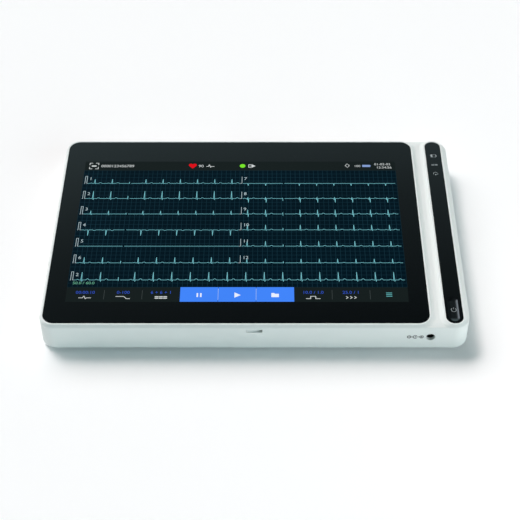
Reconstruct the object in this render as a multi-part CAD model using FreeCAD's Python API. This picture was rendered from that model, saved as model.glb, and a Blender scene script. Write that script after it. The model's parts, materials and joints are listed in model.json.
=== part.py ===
import FreeCAD, Part
import math
import os
from FreeCAD import Vector

# Portable ECG machine. All sizes are in millimetres. The origin is on the ground under the middle
# of the case: X runs to the right, Y to the back and Z up. The display faces up.

# Display
screen_w = 216.96       # lit width
screen_d = 135.6        # lit height, front to back
border_side = 12.5      # black glass beside the lit area
border_back = 21.0
border_front = 17.4
glass_t = 1.8
glass_corner_r = 7.5
adhesive_t = 0.4
adhesive_w = 4.0
touch_t = 0.3
panel_t = 1.3
panel_side = 6.25       # panel past the lit area at the sides and the back
panel_front = 8.5       # panel past the lit area at the front
panel_clear = 0.6
backlight_t = 2.6
bracket_t = 0.8
bracket_tab_w = 12.0
bracket_tab_len = 7.4
bracket_screw_out = 4.2 # tab screw from the panel's edge
bracket_left_x = -80.0
bracket_mid_x = 49.0

# Rim round the glass and the strip
fit_gap = 0.15          # glass or strip to the wall of its pocket
lip_w = 0.95
lip_proud = 0.15
chamfer_run = 1.1
chamfer_drop = 1.8
edge_soft = 0.25        # rounding of the lip's outer edge
trough_w = 8.0          # between the lips of glass and strip
trough_rise = 0.55      # trough's bed above the chamfer's foot
mouth_run = 4.5         # length of the bed's fall at each end
flank_top_deg = 38.0    # trough's slope at the lip
flank_foot_deg = 8.0    # trough's slope at its foot
flank_sections = 5

# Strip
strip_w = 10.7
strip_end_r = 5.2
strip_t = 1.5
strip_chamfer_run = 3.1
strip_glue_t = 0.25
strip_glue_w = 0.5

# Case
wall_t = 2.2
floor_t = 2.2
wall_h = 19.5
foot_h = 1.5
land_h = 0.3            # upright land under the chamfer
bottom_fillet = 2.0
part_line_bevel = 0.2
ledge_t = 1.0           # ledge under the glass
lap_t = 1.2             # tub's wall outside the cover's tongue
tongue_clear = 0.2      # cover's tongue to the tub's wall
seal_h = 0.5
foot_r = 6.0
foot_recess = 0.8
foot_inset_x = 30.0
foot_inset_y = 12.0

# Fasteners
thread_clear = 0.02     # screw to its thread, drawn as a plain bore
hole_clear = 0.15
case_screw_r = 1.5
case_screw_len = 12.0
case_head_r = 2.8
case_head_h = 2.0
case_head_deep = 2.6    # head's seat above the underside
case_post_r = 3.2
case_boss_r = 4.0
case_split_h = 5.3      # boss in the tub above its floor
case_left_inset = 17.0
case_mid_x = 33.0
case_front_inset = 6.7
case_back_inset = 10.0
case_right_front_y = -40.0
case_right_back_y = 30.0
small_screw_r = 1.0
small_screw_len = 3.4
small_head_r = 1.9
small_head_h = 1.2
small_post_r = 2.2
driver_arm = 0.6        # cross recess, as shares of the head's radius and height
driver_half = 0.15
driver_depth = 0.6

# Mount on the underside
mount_pitch = 75.0
mount_insert_r = 2.8
mount_insert_len = 6.0
mount_bore_r = 1.65
mount_boss_r = 4.5
mount_boss_h = 5.6

# Power button
button_w = 7.4
button_d = 20.5
button_inset = 1.9      # from the strip's front end
button_gap = 0.2
button_travel = 0.6
button_flange_w = 0.8
button_flange_t = 0.9
button_rest_gap = 0.1
button_stem_r = 1.6
dish_r = 7.8
dish_depth = 0.6
switch_w = 6.2
switch_h = 2.4
switch_base = 0.2
plunger_r = 1.7
plunger_out = 1.0
plunger_end_gap = 0.2   # under the pressed plunger
side_board_t = 1.2
side_board_drop = 3.0   # top of the side boards below the cover
side_post_r = 1.6
side_post_gap = 0.5
board_edge = 0.4        # board past its post
button_board_d = 20.0

# Indicators
light_first = 15.4      # first indicator from the glass's back edge
light_pitch = 9.35
light_count = 3
light_r = 1.4
light_bar_w = 5.0
light_gap = 0.1
led_w = 2.2
led_h = 1.0
light_post_out = 6.0    # post past the outer indicator

# Hold slider in the front wall
slot_z = 17.95
slot_w = 10.0
slot_h = 2.5
slide_gap = 0.2
hold_travel = 2.2
knob_recess = 0.15
knob_ramp = 1.0         # the face's slope over the knob's length
slider_flange_t = 1.0
slider_flange_out = 1.2
slider_flange_up = 0.8
prong_w = 0.8
prong_len = 1.6
prong_h = 1.6
lever_w = 1.2
lever_h = 1.2
lever_in = 1.2
lever_gap = 0.1
hold_switch_w = 9.0
hold_switch_d = 4.0
hold_switch_h = 3.8
hold_switch_gap = 0.35
hold_board_drop = 3.3   # board's top below the slot's middle
hold_board_w = 27.0
hold_board_d = 9.5
hold_post_x = 10.0
hold_post_in = 3.8

# Boards
board_t = 1.6
board_gap = 0.8         # board to the case's walls
board_clear = 3.0       # board to the bosses beside it
board_post_r = 3.0
board_screw_in = 6.0
main_chip_w = 17.0
main_chip_h = 1.4
memory_w = 9.0
memory_d = 12.0
memory_h = 1.0
memory_gap = 3.0
main_shield_w = 44.0
main_shield_d = 30.0
main_shield_h = 4.0
main_shield_y = 5.0
can_t = 0.4
cell_r = 10.0
cell_t = 3.2
cell_gap = 0.2
cell_wall = 1.4
cell_floor = 1.0
cell_y = 45.0
ecg_board_w = 56.0
ecg_board_y0 = 12.0
ecg_shield_w = 40.0
ecg_shield_d = 30.0
ecg_shield_h = 5.0
ecg_shield_in = 8.0     # shield from the board's front edge
ecg_chip_w = 10.0
ecg_chip_h = 1.2
ribbon_t = 0.2
connector_d = 4.0
connector_h = 2.0
cable_w = 20.0
side_cable_w = 5.0
ecg_cable_w = 10.0

# Power socket
jack_x_in = 24.5        # from the case's right side
jack_z = 12.5
jack_axis_h = 5.5       # axis above the main board
jack_w = 9.0
jack_d = 14.0
jack_over = 4.5         # body above the axis
jack_bore_r = 2.8
jack_bore_d = 10.0
jack_hole_r = 2.9
jack_pin_r = 1.05
jack_pin_short = 0.6
jack_gap = 0.1

# USB socket
usb_x = 75.0
usb_w = 13.1
usb_h = 5.7
usb_d = 14.0
usb_t = 0.4
usb_hole_gap = 0.3
usb_face_in = 0.3
usb_tongue_t = 1.9
usb_tongue_side = 0.5
usb_tongue_short = 1.0
usb_block_d = 4.0

# Patient socket
socket_rise = 5.6       # middle above the ECG board
socket_flange_w = 44.0
socket_flange_h = 12.0
socket_flange_t = 0.8
socket_deep = 6.4       # flange's face behind the case's back
socket_niche_w = 39.6
socket_niche_h = 10.4
socket_niche_r = 1.5
socket_niche_wall = 1.2
socket_shell_w = 25.0
socket_shell_h = 8.4
socket_shell_len = 5.8
socket_shell_t = 0.4
socket_slant = 1.2      # half of the D shape's narrowing
socket_back_d = 6.0
socket_pitch = 2.76
socket_row_gap = 2.84
socket_contact_r = 0.5
socket_contact_tail = 2.0
socket_count = 8        # contacts in the longer row
jackscrew_pitch = 33.3
jackscrew_r = 2.4
jackscrew_len = 5.0
jackscrew_bore_r = 1.1
jackscrew_thread_r = 1.4
jackscrew_tail = 3.0

# Battery
bay_w = 72.0
bay_d = 114.0
bay_inset = 7.0         # from the case's left wall
bay_y = 5.0
bay_wall = 3.0
bay_roof = 1.2
bay_rest = 2.0          # ledge for the battery cover
bay_front = 12.0        # cover past the bay at the front
bay_pad_h = 5.0
battery_t = 9.5
battery_gap = 0.8
battery_r = 3.0
cover_t = 1.8
cover_gap = 0.25
cover_r = 4.0
cover_screw_x = 22.0
cover_screw_r = 1.25
cover_screw_len = 5.0
cover_head_r = 2.4
cover_head_h = 1.0
cover_head_gap = 0.1
plug_w = 15.0
plug_h = 5.0
plug_rise = 4.0         # plug's bottom above the tub's floor
plug_out = 2.0
lead_w = 10.0
lead_t = 0.6

# Speaker
speaker_in = 31.7       # middle from the front wall
speaker_r = 18.0
speaker_rim_w = 2.0
speaker_gasket_t = 0.6
speaker_rim_t = 1.0
speaker_h = 5.0
speaker_top_r = 10.0
speaker_wall = 0.8
cone_t = 0.4
cone_gap = 0.6
magnet_r = 9.0
magnet_h = 3.0
grille_slots = 5
grille_pitch = 5.0
grille_slot_w = 1.6
grille_r = 14.0

# Antenna
antenna_len = 50.0
antenna_h = 8.0
antenna_t = 0.3
antenna_rise = 4.5

reach = 1.0             # cutting tools run past what they cut
tiny = 0.001

# Worked out from the sizes above
rim = fit_gap + lip_w
glass_w = screen_w + 2 * border_side
glass_d = screen_d + border_back + border_front
body_w = chamfer_run + glass_w + trough_w + strip_w + 4 * rim + strip_chamfer_run
body_d = glass_d + 2 * (rim + chamfer_run)
body_corner_r = glass_corner_r + rim + chamfer_run

x_left = -body_w / 2
x_right = body_w / 2
y_front = -body_d / 2
y_back = body_d / 2
x_left_in = x_left + wall_t
y_front_in = y_front + wall_t
y_back_in = y_back - wall_t

glass_x0 = x_left + chamfer_run + rim
glass_x1 = glass_x0 + glass_w
glass_y0 = y_front + chamfer_run + rim
glass_y1 = glass_y0 + glass_d
strip_x1 = x_right - strip_chamfer_run - rim
strip_x0 = strip_x1 - strip_w
strip_xc = (strip_x0 + strip_x1) / 2
strip_y0 = glass_y0
strip_y1 = glass_y1
panel_x0 = glass_x0 + border_side - panel_side
panel_x1 = glass_x1 - border_side + panel_side
panel_y0 = glass_y0 + border_front - panel_front
panel_y1 = glass_y1 - border_back + panel_side

z_under = foot_h
z_floor = z_under + floor_t
z_part = z_under + wall_h
z_base = z_part + land_h
z_bed = z_base + trough_rise
z_lip = z_base + chamfer_drop
z_glass = z_lip - lip_proud
z_glass_under = z_glass - glass_t
z_ledge = z_glass_under - adhesive_t
z_cover = z_ledge - ledge_t
z_step = z_cover - seal_h
z_touch = z_glass_under - touch_t
z_panel = z_touch - panel_t
z_backlight = z_panel - backlight_t
z_bracket = z_backlight - bracket_t
z_strip_under = z_glass - strip_t
z_strip_seat = z_strip_under - strip_glue_t
z_split = z_floor + case_split_h
z_side_board = z_cover - side_board_drop
z_board_top = jack_z - jack_axis_h
z_board = z_board_top - board_t
z_cable = z_board_top + connector_h / 2
z_bay_roof = z_under + cover_t + battery_t + battery_gap

flank_top = math.radians(flank_top_deg)
flank_foot = math.radians(flank_foot_deg)
flank_r = (chamfer_drop - trough_rise) / (math.cos(flank_foot) - math.cos(flank_top))
mouth_r = (mouth_run ** 2 + trough_rise ** 2) / (2 * trough_rise)

case_rows = (y_front + case_front_inset, y_back - case_back_inset)
case_columns = (x_left + case_left_inset, -case_mid_x, case_mid_x)
case_screw_at = [(x, y) for x in case_columns for y in case_rows]
case_screw_at.append((strip_xc, case_right_front_y))
case_screw_at.append((strip_xc, case_right_back_y))
mount_at = [(sx * mount_pitch / 2, sy * mount_pitch / 2) for sx in (-1, 1) for sy in (-1, 1)]
foot_x = body_w / 2 - foot_inset_x
foot_y = body_d / 2 - foot_inset_y
foot_at = [(sx * foot_x, sy * foot_y) for sx in (-1, 1) for sy in (-1, 1)]

button_y0 = strip_y0 + button_inset
button_y1 = button_y0 + button_d
button_yc = (button_y0 + button_y1) / 2
z_button_flange = z_strip_under - button_rest_gap - button_flange_t
z_switch = z_side_board + switch_h
z_plunger = z_switch + plunger_out
plunger_in = switch_h - switch_base - button_travel - plunger_end_gap
button_open = button_flange_w + button_gap
side_post_x = strip_xc - button_w / 2 - button_open - side_post_gap - side_post_r
side_board_x0 = side_post_x - side_post_r - board_edge
side_board_x1 = strip_xc + switch_w / 2 + board_edge
button_board_y0 = button_yc - button_board_d / 2
button_board_y1 = button_yc + button_board_d / 2
side_post_in = side_post_r + board_edge
button_post_rows = (button_board_y0 + side_post_in, button_board_y1 - side_post_in)
button_post_at = [(side_post_x, y) for y in button_post_rows]

light_at = [glass_y1 - light_first - light_pitch * i for i in range(light_count)]
light_post_at = [(strip_xc, light_at[0] + light_post_out), (strip_xc, light_at[-1] - light_post_out)]
light_board_y0 = light_post_at[1][1] - side_post_in
light_board_y1 = light_post_at[0][1] + side_post_in

bracket_front_y = panel_y0 - bracket_screw_out
bracket_back_y = panel_y1 + bracket_screw_out
bracket_front_x = (bracket_left_x, bracket_mid_x)
bracket_back_x = (bracket_left_x, -bracket_mid_x, bracket_mid_x)
bracket_screw_at = [(x, bracket_front_y) for x in bracket_front_x]
bracket_screw_at += [(x, bracket_back_y) for x in bracket_back_x]

jack_x = x_right - jack_x_in
main_x0 = mount_pitch / 2 + mount_boss_r + board_clear
main_x1 = jack_x + jack_w / 2 + board_gap
main_y0 = y_front_in + board_gap
main_y1 = y_back_in - board_gap
main_xc = (main_x0 + main_x1) / 2
main_screw_at = [(main_x0 + board_screw_in, y) for y in (main_y0 + board_screw_in, main_y1 - board_screw_in)]
main_screw_at.append((jack_x - jack_w / 2 - board_screw_in, main_y0 + board_screw_in))
main_screw_at.append((main_x1 - board_screw_in, main_y1 - board_screw_in))

socket_y = y_back - socket_deep
z_socket = z_board_top + socket_rise
ecg_x = ecg_board_w / 2
ecg_y1 = socket_y - socket_flange_t - board_gap
ecg_screw_x = ecg_x - board_screw_in
ecg_screw_rows = (ecg_board_y0 + board_screw_in, ecg_y1 - board_screw_in)
ecg_screw_at = [(sx * ecg_screw_x, y) for sx in (-1, 1) for y in ecg_screw_rows]

bay_x0 = x_left_in + bay_inset
bay_x1 = bay_x0 + bay_w
bay_xc = (bay_x0 + bay_x1) / 2
bay_y0 = bay_y - bay_d / 2
bay_y1 = bay_y + bay_d / 2
cover_screw_y = bay_y0 - bay_front / 2
cover_screw_at = [(bay_xc - cover_screw_x, cover_screw_y), (bay_xc + cover_screw_x, cover_screw_y)]
z_plug = z_floor + plug_rise
speaker_y = y_front_in + speaker_in

knob_w = slot_w - 2 * slide_gap - hold_travel
knob_x0 = -slot_w / 2 + slide_gap
knob_x1 = knob_x0 + knob_w
knob_xc = (knob_x0 + knob_x1) / 2
knob_h = slot_h - 2 * slide_gap
slider_y0 = y_front_in + slide_gap
slider_y1 = slider_y0 + slider_flange_t
prong_y1 = slider_y1 + prong_len
hold_switch_y0 = prong_y1 + hold_switch_gap
z_hold_board = slot_z - hold_board_drop
hold_board_y1 = hold_switch_y0 + hold_board_d
hold_post_y = hold_switch_y0 + hold_post_in
hold_post_at = [(-hold_post_x, hold_post_y), (hold_post_x, hold_post_y)]
z_lever = z_hold_board + hold_switch_h / 2


# Shapes that many pieces share

def box(x0, x1, y0, y1, z0, z1):
    return Part.makeBox(x1 - x0, y1 - y0, z1 - z0, Vector(x0, y0, z0))


def rod(x, y, z0, z1, r):
    return Part.makeCylinder(r, z1 - z0, Vector(x, y, z0))


def rod_along_y(x, z, y0, y1, r):
    return Part.makeCylinder(r, y1 - y0, Vector(x, y0, z), Vector(0, 1, 0))


def outline(x0, x1, y0, y1, z, r_left, r_right):
    """Rectangle with rounded corners, as a closed wire of four arcs and four lines."""
    up = Vector(0, 0, 1)
    arcs = [
        Part.makeCircle(r_right, Vector(x1 - r_right, y0 + r_right, z), up, 270, 360),
        Part.makeCircle(r_right, Vector(x1 - r_right, y1 - r_right, z), up, 0, 90),
        Part.makeCircle(r_left, Vector(x0 + r_left, y1 - r_left, z), up, 90, 180),
        Part.makeCircle(r_left, Vector(x0 + r_left, y0 + r_left, z), up, 180, 270),
    ]
    edges = []
    for arc, following in zip(arcs, arcs[1:] + arcs[:1]):
        edges.append(arc)
        edges.append(Part.makeLine(arc.Vertexes[-1].Point, following.Vertexes[0].Point))
    return Part.Wire(edges)


def plate(x0, x1, y0, y1, z0, z1, r):
    face = Part.Face(outline(x0, x1, y0, y1, z0, r, r))
    return face.extrude(Vector(0, 0, z1 - z0))


def ring(x0, x1, y0, y1, z0, z1, r, w):
    hole = plate(x0 + w, x1 - w, y0 + w, y1 - w, z0 - reach, z1 + reach, r - w)
    return plate(x0, x1, y0, y1, z0, z1, r).cut(hole)


def turned(points, x, y, z):
    """Solid turned about an upright axis from points of radius and height."""
    corners = [Vector(r, 0, h) for r, h in points]
    face = Part.Face(Part.makePolygon(corners + corners[:1]))
    solid = face.revolve(Vector(0, 0, 0), Vector(0, 0, 1), 360)
    solid.translate(Vector(x, y, z))
    return solid


def joined(solids):
    return solids[0].fuse(solids[1:]).removeSplitter()


def less(solid, tools):
    return solid.cut(tools).removeSplitter()


def can(x0, x1, y0, y1, z0, h):
    inside = box(x0 + can_t, x1 - can_t, y0 + can_t, y1 - can_t, z0 - reach, z0 + h - can_t)
    return box(x0, x1, y0, y1, z0, z0 + h).cut(inside)


def screw(x, y, z, up, shank_r, shank_len, head_r, head_h):
    """Screw with its head's seat at z. The shank points up for 1 and down for -1."""
    way = Vector(0, 0, up)
    shank = Part.makeCylinder(shank_r, shank_len, Vector(x, y, z), way)
    head = Part.makeCylinder(head_r, head_h, Vector(x, y, z), way * -1)
    arm = head_r * driver_arm
    half = head_r * driver_half
    z_face = z - up * head_h
    z_slot = z_face + up * head_h * driver_depth
    low = min(z_face, z_slot)
    high = max(z_face, z_slot)
    cross = [box(x - arm, x + arm, y - half, y + half, low, high)]
    cross.append(box(x - half, x + half, y - arm, y + arm, low, high))
    return less(joined([shank, head]), cross)


def small_screw(x, y, z, up):
    return screw(x, y, z, up, small_screw_r, small_screw_len, small_head_r, small_head_h)


def ribbon(points, low, high, along_x):
    """Flat cable along points of run and height, as wide as low to high."""
    half = ribbon_t / 2
    lengths = []
    for (u0, z0), (u1, z1) in zip(points, points[1:]):
        u_low = min(u0, u1) - half
        u_high = max(u0, u1) + half
        z_low = min(z0, z1) - half
        z_high = max(z0, z1) + half
        if along_x:
            lengths.append(box(u_low, u_high, low, high, z_low, z_high))
        else:
            lengths.append(box(low, high, u_low, u_high, z_low, z_high))
    return joined(lengths)


# Case

def flank(k):
    """Trough's side at share k of its slope: how far out from the lip, and how high."""
    a = flank_foot + (flank_top - flank_foot) * k
    out = flank_r * (math.sin(flank_top) - math.sin(a))
    z = z_bed + flank_r * (math.cos(flank_foot) - math.cos(a))
    return out, z


def island(section):
    """Raised land round the glass or the strip: a foot beside the trough's bed, and the part above it."""
    wires = []
    for i in range(flank_sections):
        out, z = flank(i / (flank_sections - 1))
        share = (z_lip - z) / chamfer_drop
        wires.append(section(out, z, share))
    solid = Part.makeLoft(wires, True, False)
    top = [e for e in solid.Edges if abs(e.BoundBox.ZMin - z_lip) < tiny]
    foot = Part.makeLoft([section(flank(0)[0], z_base, 1), wires[0]], True, True)
    return solid.makeFillet(edge_soft, top).fuse(foot)


def trough_bed():
    """Bed between the two lands. It falls in an arc to the chamfer's foot at both ends."""
    turn = math.asin(mouth_run / mouth_r) / 2
    y_half = mouth_r * math.sin(turn)
    z_half = z_bed - mouth_r * (1 - math.cos(turn))
    y0 = y_front + mouth_run
    y1 = y_back - mouth_run
    z_low = z_base - land_h / 2
    front = [Vector(0, y_front, z_base), Vector(0, y0 - y_half, z_half), Vector(0, y0, z_bed)]
    back = [Vector(0, y1, z_bed), Vector(0, y1 + y_half, z_half), Vector(0, y_back, z_base)]
    low = [Vector(0, y_back, z_low), Vector(0, y_front, z_low)]
    edges = [Part.Arc(*front).toShape(), Part.makeLine(front[2], back[0]), Part.Arc(*back).toShape()]
    for start, end in ((back[2], low[0]), (low[0], low[1]), (low[1], front[0])):
        edges.append(Part.makeLine(start, end))
    x0 = glass_x1 - glass_corner_r
    x1 = strip_x0 + strip_end_r - strip_glue_w
    bed = Part.Face(Part.Wire(edges)).extrude(Vector(x1 - x0, 0, 0))
    bed.translate(Vector(x0, 0, 0))
    return bed


def glass_section(out, z, share):
    c = rim + chamfer_run * share
    r = glass_corner_r + c
    return outline(glass_x0 - c, glass_x1 + rim + out, glass_y0 - c, glass_y1 + c, z, r, r)


def strip_section(out, z, share):
    c = rim + chamfer_run * share
    r_left = strip_end_r + c
    r_lip = strip_end_r + rim
    r_right = r_lip + (body_corner_r - r_lip) * share
    x1 = strip_x1 + rim + strip_chamfer_run * share
    return outline(strip_x0 - rim - out, x1, strip_y0 - c, strip_y1 + c, z, r_left, r_right)


def lap_plate(e, z0, z1):
    """Plate in the outline of the case, drawn in by e."""
    return plate(x_left + e, x_right - e, y_front + e, y_back - e, z0, z1, body_corner_r - e)


def cover_posts():
    posts = [rod(x, y, z_split, z_cover + reach, case_post_r) for x, y in case_screw_at]
    posts += [rod(x, y, z_backlight, z_cover + reach, small_post_r) for x, y in bracket_screw_at]
    for x, y in button_post_at + light_post_at:
        posts.append(rod(x, y, z_side_board, z_cover + reach, side_post_r))
    return posts


def cover_pilots():
    top = z_under + case_head_deep + case_screw_len + reach
    pilots = [rod(x, y, z_split - reach, top, case_screw_r + thread_clear) for x, y in case_screw_at]
    for x, y in bracket_screw_at:
        z_end = z_bracket + small_screw_len + hole_clear
        pilots.append(rod(x, y, z_bracket, z_end, small_screw_r + thread_clear))
    for x, y in button_post_at + light_post_at:
        z_start = z_side_board - side_board_t
        z_end = z_start + small_screw_len + hole_clear
        pilots.append(rod(x, y, z_start, z_end, small_screw_r + thread_clear))
    return pilots


def button_plate(out, z0, z1):
    r = button_w / 2 - tiny
    x0 = strip_xc - button_w / 2 - out
    x1 = strip_xc + button_w / 2 + out
    return plate(x0, x1, button_y0 - out, button_y1 + out, z0, z1, r + out)


def top_cover():
    base = plate(x_left, x_right, y_front, y_back, z_part, z_base, body_corner_r)
    tongue = lap_plate(lap_t + tongue_clear, z_cover, z_base)
    lands = [island(glass_section), island(strip_section)]
    cover = joined([base, trough_bed(), tongue] + lands + cover_posts())
    g = fit_gap
    z_above = z_lip + reach
    c = panel_clear
    cuts = [
        plate(glass_x0 - g, glass_x1 + g, glass_y0 - g, glass_y1 + g, z_ledge, z_above, glass_corner_r + g),
        box(panel_x0 - c, panel_x1 + c, panel_y0 - c, panel_y1 + c, z_cover - reach, z_ledge + reach),
        plate(strip_x0 - g, strip_x1 + g, strip_y0 - g, strip_y1 + g, z_strip_seat, z_above, strip_end_r + g),
        button_plate(button_open, z_cover - reach, z_above),
    ]
    cuts += [rod(strip_xc, y, z_cover - reach, z_above, light_r + light_gap) for y in light_at]
    return less(cover, cuts + cover_pilots())


def housing_seal():
    return lap_plate(lap_t + tongue_clear, z_step, z_cover).cut(lap_plate(wall_t, z_floor, z_base))


def tub():
    solid = plate(x_left, x_right, y_front, y_back, z_under, z_part, body_corner_r)
    low = [e for e in solid.Edges if abs(e.BoundBox.ZMax - z_under) < tiny]
    solid = solid.makeFillet(bottom_fillet, low)
    high = [e for e in solid.Edges if abs(e.BoundBox.ZMin - z_part) < tiny]
    solid = solid.makeChamfer(part_line_bevel, high)
    z_above = z_part + reach
    return solid.cut([lap_plate(wall_t, z_floor, z_above), lap_plate(lap_t, z_step, z_above)])


def niche(out, y0, y1):
    half_w = socket_niche_w / 2 + out
    half_h = socket_niche_h / 2 + out
    tool = plate(-half_w, half_w, -half_h, half_h, 0, y1 - y0, socket_niche_r + out)
    tool.rotate(Vector(0, 0, 0), Vector(1, 0, 0), 90)
    tool.translate(Vector(0, y1, z_socket))
    return tool


def tub_adds():
    sunk = z_floor - floor_t / 2
    adds = [rod(x, y, sunk, z_split, case_boss_r) for x, y in case_screw_at]
    adds += [rod(x, y, sunk, z_floor + mount_boss_h, mount_boss_r) for x, y in mount_at]
    adds += [rod(x, y, sunk, z_board, board_post_r) for x, y in main_screw_at + ecg_screw_at]
    adds += [rod(x, y, sunk, z_hold_board - side_board_t, small_post_r) for x, y in hold_post_at]
    w = bay_wall
    adds.append(box(bay_x0 - w, bay_x1 + w, bay_y0 - w, bay_y1 + w, sunk, z_bay_roof + bay_roof))
    adds.append(box(bay_x0 - w, bay_x1 + w, bay_y0 - bay_front - w, bay_y0, sunk, z_floor + bay_pad_h))
    adds.append(niche(socket_niche_wall, socket_y, y_back_in + tiny))
    return adds


def grille():
    slots = []
    for i in range(grille_slots):
        x = (i - (grille_slots - 1) / 2) * grille_pitch
        half = math.sqrt(grille_r ** 2 - x ** 2)
        w = grille_slot_w / 2
        y0 = speaker_y - half
        y1 = speaker_y + half
        slots.append(plate(x - w, x + w, y0, y1, z_under - reach, z_floor + reach, w - tiny))
    return slots


def tub_holes():
    cuts = []
    low = z_under - reach
    for x, y in case_screw_at:
        cuts.append(rod(x, y, low, z_under + case_head_deep, case_head_r + hole_clear))
        cuts.append(rod(x, y, low, z_split + reach, case_screw_r + hole_clear))
    cuts += [rod(x, y, low, z_under + mount_insert_len, mount_insert_r) for x, y in mount_at]
    cuts += [rod(x, y, low, z_under + foot_recess, foot_r) for x, y in foot_at]
    r = small_screw_r + thread_clear
    for x, y in main_screw_at + ecg_screw_at:
        z_end = z_board_top - small_screw_len - hole_clear
        cuts.append(rod(x, y, z_end, z_board_top, r))
    for x, y in hold_post_at:
        z_end = z_hold_board - small_screw_len - hole_clear
        cuts.append(rod(x, y, z_end, z_hold_board, r))
    for x, y in cover_screw_at:
        z_end = z_under + cover_t + cover_screw_len
        cuts.append(rod(x, y, low, z_end, cover_screw_r + thread_clear))
    return cuts


def tub_openings():
    w = bay_rest
    cuts = [box(bay_x0, bay_x1, bay_y0, bay_y1, z_under - reach, z_bay_roof)]
    y0 = bay_y0 - bay_front
    y1 = bay_y1 + w
    cuts.append(plate(bay_x0 - w, bay_x1 + w, y0, y1, z_under - reach, z_under + cover_t, cover_r))
    half = plug_w / 2 + hole_clear
    z0 = z_plug - hole_clear
    z1 = z_plug + plug_h + hole_clear
    cuts.append(box(bay_x1 - reach, bay_x1 + bay_wall + reach, bay_y - half, bay_y + half, z0, z1))
    cuts.append(niche(0, socket_y - reach, y_back + reach))
    cuts.append(rod_along_y(jack_x, jack_z, y_front - reach, y_front_in + reach, jack_hole_r))
    u = usb_hole_gap
    half = usb_w / 2 + u
    z0 = z_board_top - u
    z1 = z_board_top + usb_h + u
    cuts.append(box(usb_x - half, usb_x + half, y_back_in - reach, y_back + reach, z0, z1))
    w = slot_w / 2
    h = slot_h / 2
    cuts.append(box(-w, w, y_front - reach, y_front_in + reach, slot_z - h, slot_z + h))
    return cuts + grille()


def bottom_housing():
    solid = joined([tub()] + tub_adds())
    return less(solid, tub_holes() + tub_openings())


def rubber_feet():
    return [rod(x, y, 0, z_under + foot_recess, foot_r) for x, y in foot_at]


def case_screws():
    z = z_under + case_head_deep
    sizes = (case_screw_r, case_screw_len, case_head_r, case_head_h)
    return [screw(x, y, z, 1, *sizes) for x, y in case_screw_at]


def mount_inserts():
    inserts = []
    for x, y in mount_at:
        solid = rod(x, y, z_under, z_under + mount_insert_len, mount_insert_r)
        bore = rod(x, y, z_under - reach, z_under + mount_insert_len + reach, mount_bore_r)
        inserts.append(solid.cut(bore))
    return inserts


# Display

def cover_glass():
    return plate(glass_x0, glass_x1, glass_y0, glass_y1, z_glass_under, z_glass, glass_corner_r)


def glass_adhesive():
    return ring(glass_x0, glass_x1, glass_y0, glass_y1, z_ledge, z_glass_under, glass_corner_r, adhesive_w)


def touch_film():
    return box(panel_x0, panel_x1, panel_y0, panel_y1, z_touch, z_glass_under)


def display_panel():
    return box(panel_x0, panel_x1, panel_y0, panel_y1, z_panel, z_touch)


def backlight_tray():
    return box(panel_x0, panel_x1, panel_y0, panel_y1, z_backlight, z_panel)


def display_bracket():
    parts = [box(panel_x0, panel_x1, panel_y0, panel_y1, z_bracket, z_backlight)]
    half = bracket_tab_w / 2
    for x in bracket_front_x:
        parts.append(box(x - half, x + half, panel_y0 - bracket_tab_len, panel_y0, z_bracket, z_backlight))
    for x in bracket_back_x:
        parts.append(box(x - half, x + half, panel_y1, panel_y1 + bracket_tab_len, z_bracket, z_backlight))
    holes = [rod(x, y, z_bracket - reach, z_backlight + reach, small_screw_r + hole_clear)
             for x, y in bracket_screw_at]
    return less(joined(parts), holes)


def bracket_screws():
    return [small_screw(x, y, z_bracket, 1) for x, y in bracket_screw_at]


# Strip, power button and indicators

def side_strip():
    solid = plate(strip_x0, strip_x1, strip_y0, strip_y1, z_strip_under, z_glass, strip_end_r)
    return solid.cut(button_plate(button_gap, z_strip_under - reach, z_glass + reach))


def strip_adhesive():
    z0 = z_strip_seat
    z1 = z_strip_under
    return ring(strip_x0, strip_x1, strip_y0, strip_y1, z0, z1, strip_end_r, strip_glue_w)


def thumb_dish():
    z = z_glass - dish_depth + dish_r
    half = math.sqrt(dish_r ** 2 - (dish_r - dish_depth) ** 2)
    y0 = button_y0 + half
    y1 = button_y1 - half
    ends = [Part.makeSphere(dish_r, Vector(strip_xc, y, z)) for y in (y0, y1)]
    return joined([rod_along_y(strip_xc, z, y0, y1, dish_r)] + ends)


def power_button():
    cap = button_plate(0, z_button_flange, z_glass)
    z_flange_top = z_button_flange + button_flange_t
    flange = button_plate(button_flange_w, z_button_flange, z_flange_top)
    stem = rod(strip_xc, button_yc, z_plunger, z_button_flange + tiny, button_stem_r)
    return less(joined([cap, flange, stem]), [thumb_dish()])


def power_switch_plunger():
    return rod(strip_xc, button_yc, z_switch - plunger_in, z_plunger, plunger_r)


def power_switch_body():
    half = switch_w / 2
    solid = box(strip_xc - half, strip_xc + half, button_yc - half, button_yc + half, z_side_board, z_switch)
    bore = rod(strip_xc, button_yc, z_side_board + switch_base, z_switch + reach, plunger_r + hole_clear)
    return solid.cut(bore)


def side_board(y0, y1, posts):
    z0 = z_side_board - side_board_t
    solid = box(side_board_x0, side_board_x1, y0, y1, z0, z_side_board)
    holes = [rod(x, y, z0 - reach, z_side_board + reach, small_screw_r + hole_clear) for x, y in posts]
    return solid.cut(holes)


def button_board():
    return side_board(button_board_y0, button_board_y1, button_post_at)


def indicator_board():
    return side_board(light_board_y0, light_board_y1, light_post_at)


def indicator_lights():
    half = led_w / 2
    z1 = z_side_board + led_h
    return [box(strip_xc - half, strip_xc + half, y - half, y + half, z_side_board, z1) for y in light_at]


def light_pipe():
    half = light_bar_w / 2
    z0 = z_side_board + led_h + light_gap
    y0 = light_at[-1] - half
    y1 = light_at[0] + half
    bar = plate(strip_xc - half, strip_xc + half, y0, y1, z0, z_cover, half - tiny)
    pegs = [rod(strip_xc, y, z_cover - tiny, z_strip_under - light_gap, light_r) for y in light_at]
    return joined([bar] + pegs)


# Hold slider

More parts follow.
